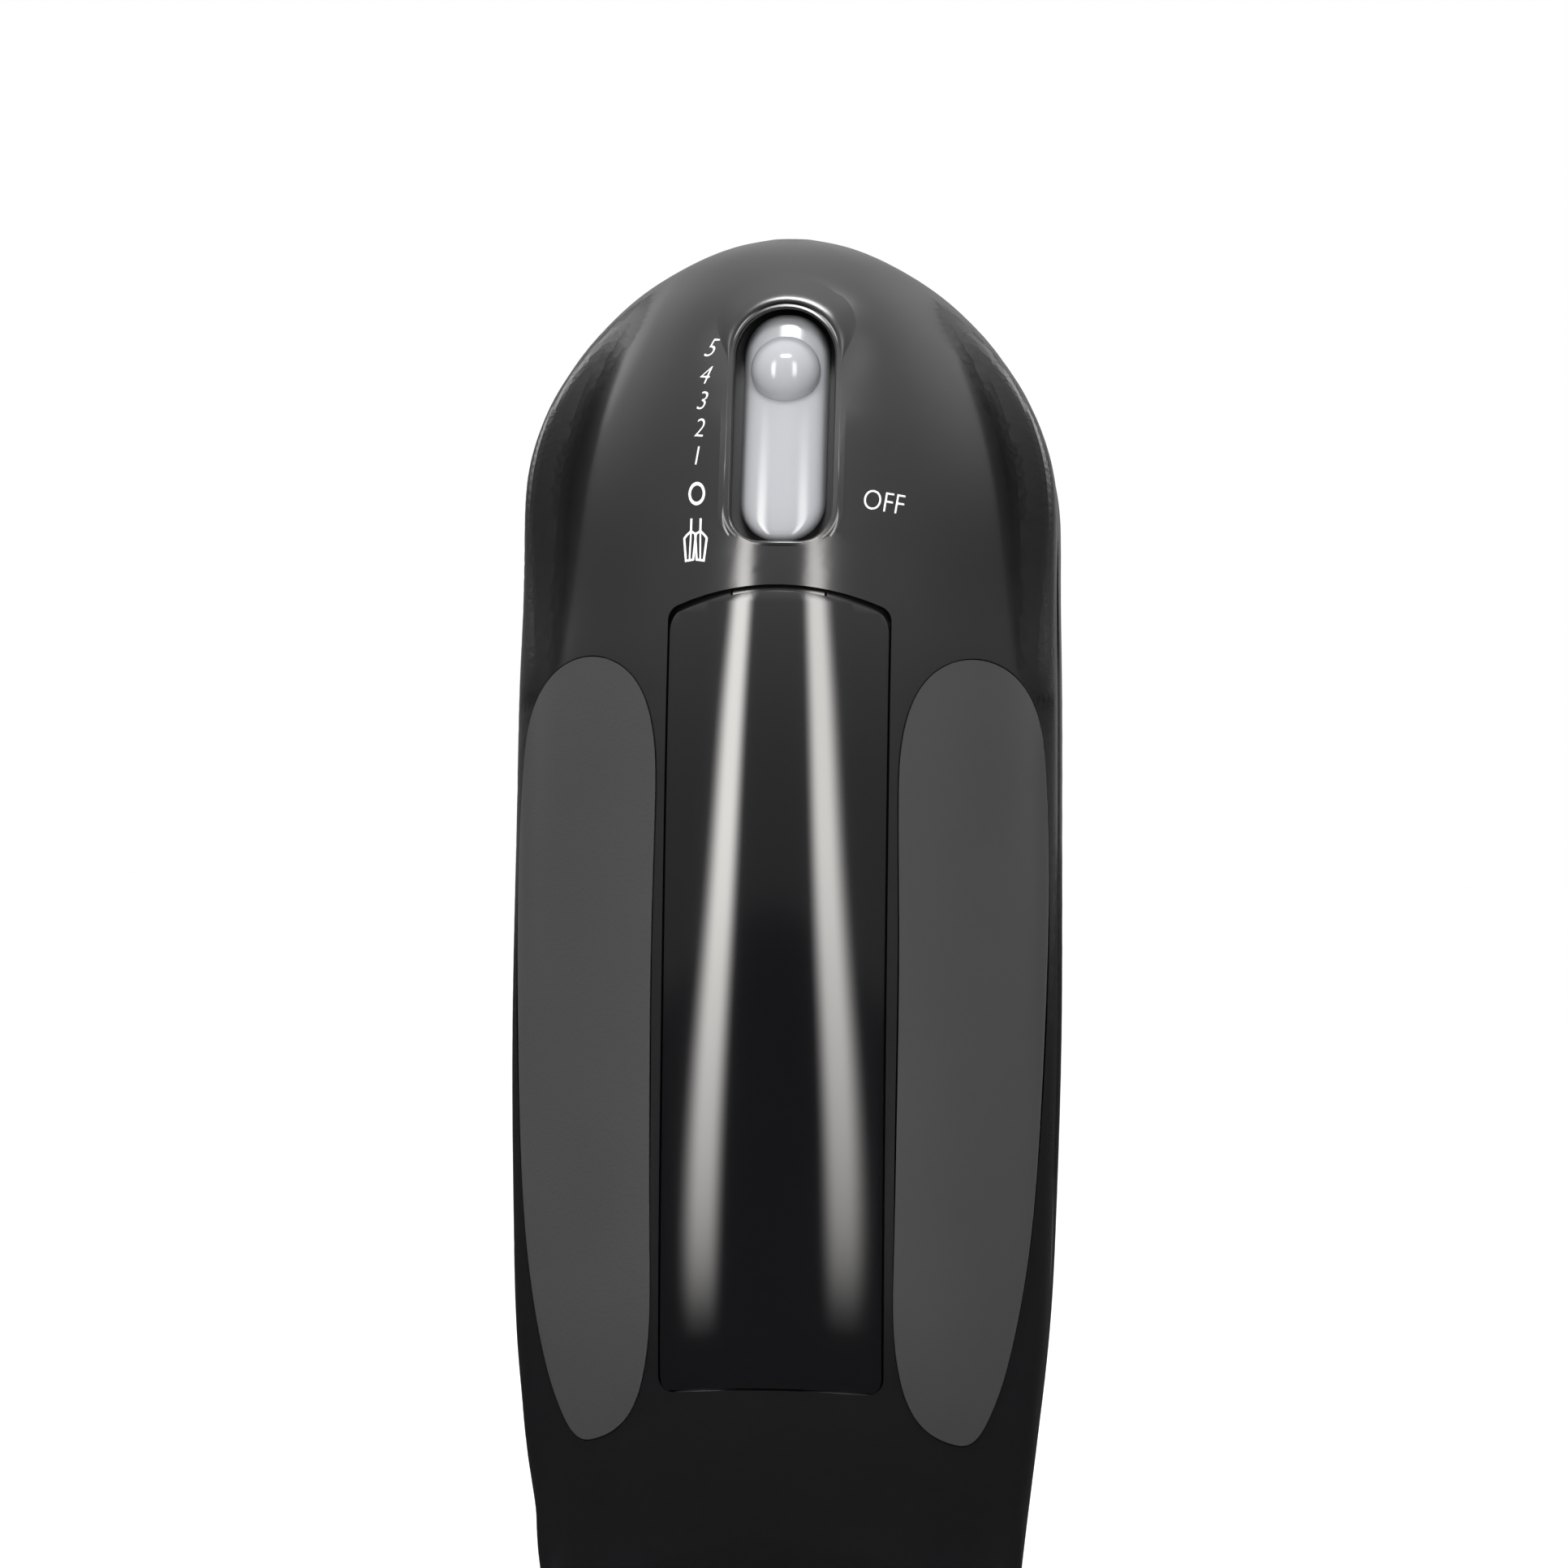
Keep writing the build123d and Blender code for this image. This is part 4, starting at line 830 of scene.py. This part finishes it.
# inset from the foot's edge and height: the sole with three grooves, then the sides
FOOT = [
    (15.0, 0.0), (14.2, 0.0), (14.0, 0.5), (12.4, 0.5), (12.2, 0.0), (9.6, 0.0),
    (9.4, 0.5), (7.8, 0.5), (7.6, 0.0), (5.0, 0.0), (4.8, 0.5), (3.2, 0.5),
    (3.0, 0.0), (0.5, 0.0), (0.15, 0.15), (0.0, 0.5), (0.0, 2.0),
]
foot_rings = []
for inset, level in FOOT:
    ring = rounded_rectangle(FOOT_X - inset, FOOT_Y - inset, max(LEAST_CORNER, FOOT_CORNER - inset))
    foot_rings.append([(x, y + FOOT_MIDDLE, level) for x, y in ring])
foot = stack_of_rings(foot_rings)
open_edges = [edge for edge in foot.edges if len(edge.link_faces) == 1]
bmesh.ops.holes_fill(foot, edges=open_edges, sides=0)
bmesh.ops.recalc_face_normals(foot, faces=foot.faces)
foot_piece = as_piece(foot, "rubber_foot", "foot_rubber", "housing", smooth=False)
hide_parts("heel_pad")
print("foot:", len(foot_piece.data.polygons), "faces")

# %% [markdown]
# ## The printed legend
# The legend is a thin layer of white ink: the speeds 5 to 1, a ring for off, a sign with
# two beaters where the ejector works, and OFF on the other side. Letters start as text and
# signs as strokes. Each is cut into a fine grid, dropped on to the shell or the lip by
# rays, whichever is higher, and given the thickness of a print.


# %% Ink
INK_OFFSET = 0.02  # the print starts this far outside the skin, so that no two faces share a plane
legend_ink = moulded("legend_ink", (0.72, 0.72, 0.73), 0.42, 0.1, 0.002, 0.3, 0.05)
lip_skin = tree_of(lip_piece)


def lay_ink(mesh, name, thickness=0.05):
    """Drops a flat drawing in x and z on to the shell and gives it a thickness."""
    cut_grid(mesh, 0.35, 0.35)
    for vert in mesh.verts:
        found = [drop(tree, vert.co.x, vert.co.z) for tree in (top_skin, lip_skin)]
        vert.co.y = min(y for y in found if y) - INK_OFFSET
    extrude(mesh, -thickness)
    bmesh.ops.recalc_face_normals(mesh, faces=mesh.faces)
    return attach(to_object(mesh, name, legend_ink), "housing")


print("ink finish:", len(legend_ink.node_tree.nodes), "nodes")

# %% [markdown]
# Letters are a text object that is made a mesh, brought to its height, squeezed and turned
# while it still lies flat, and only then stood upright on the shell.


# %% Letters
def stand(mesh, x, z):
    """Turns a drawing in x and y upright and moves it to a place in x and z."""
    quarter = Matrix.Rotation(radians(90), 3, "X")
    bmesh.ops.rotate(mesh, cent=(0, 0, 0), matrix=quarter, verts=mesh.verts)
    bmesh.ops.translate(mesh, vec=(x, 0, z), verts=mesh.verts)
    return mesh


THINNER = -0.011  # takes a little off the font's strokes


def lettering(text, x, z, height, slant=0.0, turn=0.0, squeeze=1.0):
    """Letters as a flat mesh in x and z, centred on a point."""
    curve = bpy.data.curves.new("lettering", "FONT")
    curve.body, curve.shear, curve.resolution_u = text, slant, 4
    curve.align_x, curve.align_y, curve.offset = "CENTER", "CENTER", THINNER
    letters = bpy.data.objects.new("lettering", curve)
    bpy.context.scene.collection.objects.link(letters)
    bpy.context.view_layer.update()
    flat = letters.evaluated_get(bpy.context.evaluated_depsgraph_get()).to_mesh()
    mesh = bmesh.new()
    mesh.from_mesh(flat)
    bpy.data.objects.remove(letters)
    bmesh.ops.remove_doubles(mesh, verts=mesh.verts, dist=1e-5)
    low = min(v.co.y for v in mesh.verts)
    high = max(v.co.y for v in mesh.verts)
    middle = (min(v.co.x for v in mesh.verts) + max(v.co.x for v in mesh.verts)) / 2
    size = height / (high - low)
    bmesh.ops.translate(mesh, vec=(-middle, -(low + high) / 2, 0), verts=mesh.verts)
    bmesh.ops.scale(mesh, vec=(size * squeeze, size, size), verts=mesh.verts)
    turned = Matrix.Rotation(radians(turn), 3, "Z")
    bmesh.ops.rotate(mesh, cent=(0, 0, 0), matrix=turned, verts=mesh.verts)
    return stand(mesh, x, z)


# %% Signs: a ring, and strokes of the pen
def ring_sign(x, z, outer, inner, flatten, steps=40):
    """A flat ring in x and z."""
    mesh = bmesh.new()
    loops = []
    for radius in (outer, inner):
        circle = bmesh.ops.create_circle(mesh, cap_ends=False, segments=steps, radius=radius)
        loops += list({edge for vert in circle["verts"] for edge in vert.link_edges})
    bmesh.ops.bridge_loops(mesh, edges=loops)
    bmesh.ops.scale(mesh, vec=(flatten, 1, 1), verts=mesh.verts)
    return stand(mesh, x, z)


SHARPEST = 0.4  # keeps a mitre at a sharp corner from growing long


def stroke(mesh, path, width):
    """Adds a flat ribbon of this width along a path in x and z, mitred at its corners."""
    points = [Vector(p) for p in path]
    sides = []
    for i, point in enumerate(points):
        before = (point - points[i - 1]).normalized() if i else None
        after = (points[i + 1] - point).normalized() if i + 1 < len(points) else None
        ways = [way for way in (before, after) if way]
        mean = sum(ways, Vector((0, 0))).normalized()
        across = Vector((-mean.y, mean.x)) * (width / 2 / max(SHARPEST, mean.dot(ways[0])))
        sides.append((point + across, point - across))
    edge = mesh.edges.new([mesh.verts.new((p.x, 0, p.y)) for p in sides[0]])
    last_left = sides[0][0]
    for left, right in sides[1:]:
        made = bmesh.ops.extrude_edge_only(mesh, edges=[edge])["geom"]
        ends = [item for item in made if isinstance(item, bmesh.types.BMVert)]
        edge = next(item for item in made if isinstance(item, bmesh.types.BMEdge))
        near, far = sorted(ends, key=lambda v: (Vector((v.co.x, v.co.z)) - last_left).length)
        near.co, far.co = (left.x, 0, left.y), (right.x, 0, right.y)
        last_left = left
    return mesh


sample = bmesh.new()
stroke(sample, [(0, 0), (0, 2), (2, 2)], 0.3)
print("a stroke with one corner:", len(sample.faces), "faces")
sample.free()

# %% [markdown]
# The digits follow the slot and lean more towards the nose. They and OFF are turned a few
# degrees clockwise.

# %% The print
# speed, x, z and slant of each digit
DIGITS = (
    ("5", -10.2, 188.0, 0.55), ("4", -10.9, 184.2, 0.42), ("3", -11.3, 180.6, 0.3),
    ("2", -11.6, 176.8, 0.2), ("1", -11.8, 172.9, 0.1),
)
for digit, x, z, slant in DIGITS:
    lay_ink(lettering(digit, x, z, 2.55, slant, turn=-4, squeeze=0.82), f"legend_{digit}")
lay_ink(ring_sign(-11.7, 167.6, outer=1.62, inner=1.14, flatten=0.74), "legend_ring")
lay_ink(lettering("OFF", 14.0, 166.7, 2.75, turn=-8, squeeze=0.8), "legend_off")
print("print:", len(DIGITS), "digits, a ring and OFF")

# %% [markdown]
# The ejector's sign shows two whisks side by side. Each is a shaft over a basket that
# widens and then narrows, and the baskets overlap in the middle.

# %% The beater sign
BASKET = [
    (0.0, 2.95), (0.0, 1.2), (-0.62, 0.62), (-0.95, 0.2),
    (-0.62, -2.9), (0.42, -2.75), (0.72, 0.75), (0.05, 1.15),
]
SIGN_X, SIGN_Z = -11.75, 161.2
WIRE, MIDDLE_WIRE = 0.3, 0.24
for number, (shift, flip) in enumerate(((-0.62, 1), (0.72, -1))):
    whisk = bmesh.new()
    middle = SIGN_X + shift
    stroke(whisk, [(middle + flip * x, SIGN_Z + z) for x, z in BASKET], WIRE)
    stroke(whisk, [(middle, SIGN_Z + 1.2), (middle - flip * 0.1, SIGN_Z - 2.7)], MIDDLE_WIRE)
    lay_ink(whisk, f"legend_whisk_{number + 1}", 0.04 + 0.01 * number)
print("sign: two whisks at height", SIGN_Z)

# %% [markdown]
# ## The studio
# The mixer stands on a pale floor in soft light. The floor is staged, so it's no part of
# the mixer, and it's left out of glossy reflections, which keeps the black shell black.


# %% The floor
FLOOR_HALF, FLOOR_BACK = 10.0, 9.6  # metres: most of it lies behind the mixer
PAPER_LOW, PAPER_HIGH = (0.94, 0.94, 0.94, 1), (0.96, 0.96, 0.96, 1)
floor_mesh = bmesh.new()
bmesh.ops.create_grid(floor_mesh, x_segments=8, y_segments=8, size=FLOOR_HALF)
bmesh.ops.translate(floor_mesh, vec=(0, FLOOR_BACK, 0), verts=floor_mesh.verts)
floor_data = bpy.data.meshes.new("floor")
floor_mesh.to_mesh(floor_data)
floor_mesh.free()
floor = bpy.data.objects.new("floor", floor_data)
bpy.context.scene.collection.objects.link(floor)
paper = Finish("floor_paper", Roughness=0.9)
floor_data.materials.append(
    paper.feed(Base_Color=paper.blend(paper.noise(400.0), PAPER_LOW, PAPER_HIGH))
)
floor.visible_glossy = False
print("floor:", 2 * FLOOR_HALF, "m square")

# %% [markdown]
# The sky is white where the camera sees it directly. For light and reflections it's dark
# below the horizon, dim above it and bright only overhead, so that it fills the shadows
# and puts no grey veil on the gloss.

# %% The sky
SKY_BELOW, SKY_LEVEL, SKY_TOP, SKY_RISE = 0.03, 0.2, 1.8, 1.5
SKY_SEEN = 1.0
scene = bpy.context.scene
scene.view_settings.view_transform = "Standard"
scene.world = bpy.data.worlds.new("studio")
scene.world.use_nodes = True
sky = Graph(scene.world.node_tree)
direction = sky.node("SeparateXYZ", None, {0: sky.node("TexCoord", output="Generated")}, output="Z")
glow = sky.node("Math", {"operation": "POWER", "use_clamp": True}, {0: direction, 1: SKY_RISE})
above = sky.node("Math", {"operation": "GREATER_THAN"}, {0: direction, 1: 0.0})
lit = SKY_BELOW + above * (SKY_LEVEL - SKY_BELOW) + (SKY_TOP - SKY_LEVEL) * glow
seen = sky.node("LightPath", output="Is Camera Ray")
background = sky.tree.nodes["Background"].inputs
sky.tree.links.new((lit + seen * (SKY_SEEN - lit)).socket, background["Strength"])
background["Color"].default_value = (1, 1, 1, 1)
print("sky: from", SKY_LEVEL, "at the horizon to", SKY_TOP, "overhead")

# %% [markdown]
# Every lamp is a soft box that fades towards its edges, because a hard edge would show as
# a hard line in the gloss. Two tall ones either side of the camera draw the long twin
# reflections down the inlay. A small, bright one high above the camera lights the nose and
# the front of the slot's lip. Two behind the mixer give its sides their shape.


# %% The lamps
AIM = Vector((0, -0.03, 0.11))
WHITE, WARM = (1, 1, 1), (1.0, 0.985, 0.955)
DIM_SIDES, DIM_BOTTOM, DIM_TOP = 0.05, 0.02, 0.12  # what is left of a lamp at its edges


def soft_box(
    name, azimuth, elevation, distance, width, height, radiance, colour=WHITE, ends=(0.35, 0.5)
):
    """A lamp with soft edges facing the mixer; azimuth 0 is the camera's side."""
    lamp = bpy.data.lights.new(name, "AREA")
    lamp.shape, lamp.size, lamp.size_y = "RECTANGLE", width, height
    lamp.energy = radiance * pi * width * height
    lamp.color = colour
    made = bpy.data.objects.new(name, lamp)
    bpy.context.scene.collection.objects.link(made)
    a, e = radians(azimuth), radians(elevation)
    back = Vector((sin(a) * cos(e), -cos(a) * cos(e), sin(e)))
    made.location = AIM + back * distance
    made.rotation_euler = back.to_track_quat("Z", "Y").to_euler()
    lamp.use_nodes = True
    glow = Graph(lamp.node_tree)
    on_lamp = glow.node("NewGeometry", output="Parametric")
    across = glow.node("SeparateXYZ", None, {0: on_lamp}, output="X")
    up = glow.node("SeparateXYZ", None, {0: on_lamp}, output="Y")

    def fade(value, start, end, low, high):
        sockets = {0: value, 1: start, 2: end, 3: low, 4: high}
        return glow.node("MapRange", {"interpolation_type": "SMOOTHSTEP"}, sockets)

    sides = fade(across, 0.0, 0.4, DIM_SIDES, 1.0) * fade(across, 0.6, 1.0, 1.0, DIM_SIDES)
    bottom = fade(up, 0.0, ends[0], DIM_BOTTOM, 1.0)
    strength = sides * bottom * fade(up, 1 - ends[1], 1.0, 1.0, DIM_TOP)
    glow.tree.links.new(strength.socket, glow.tree.nodes["Emission"].inputs["Strength"])
    return made


lamps = [
    soft_box("left_strip", -35, 10, 0.9, 0.3, 0.95, 10.0, WARM, (0.42, 0.28)),
    soft_box("right_strip", 28.5, 10.5, 0.9, 0.31, 0.95, 8.5, WARM, (0.42, 0.28)),
    soft_box("left_rear", -125, 28, 1.3, 0.7, 1.0, 3.0),
    soft_box("right_rear", 130, 28, 1.3, 0.7, 1.0, 3.0),
    soft_box("crescent", 2, 52, 0.9, 0.5, 0.2, 30.0, WHITE, (0.3, 0.3)),
]
print("lamps:", ", ".join(lamp.name for lamp in lamps))

# %% [markdown]
# The camera looks at the palm side, almost level and from a few degrees to the right. Its
# lens is worked out from the width that it has to show at that distance.

# %% The camera
CAMERA_AWAY, SHOWN_WIDTH, SENSOR = 0.9, 0.21855, 36  # metres, metres, millimetres
LOOKS_AT = Vector((-0.0004, -0.048, 0.128))
SWING, RISE, TILT = radians(4.23), radians(-0.52), radians(0.6)
camera = bpy.data.objects.new("camera", bpy.data.cameras.new("camera"))
scene.collection.objects.link(camera)
camera.data.lens, camera.data.sensor_width = SENSOR * CAMERA_AWAY / SHOWN_WIDTH, SENSOR
camera.data.clip_end = 100
back = Vector((sin(SWING) * cos(RISE), -cos(SWING) * cos(RISE), sin(RISE)))
right = Vector((0, 0, 1)).cross(back).normalized()
upright = Matrix((right, back.cross(right), back)).transposed()
camera.rotation_euler = (Matrix.Rotation(TILT, 3, back) @ upright).to_euler()
camera.location = LOOKS_AT + back * CAMERA_AWAY
scene.camera = camera
print("lens:", round(camera.data.lens, 1), "mm")

# %% [markdown]
# ## The end
# The scene is brought up to date once more.

# %% The end
bpy.context.view_layer.update()
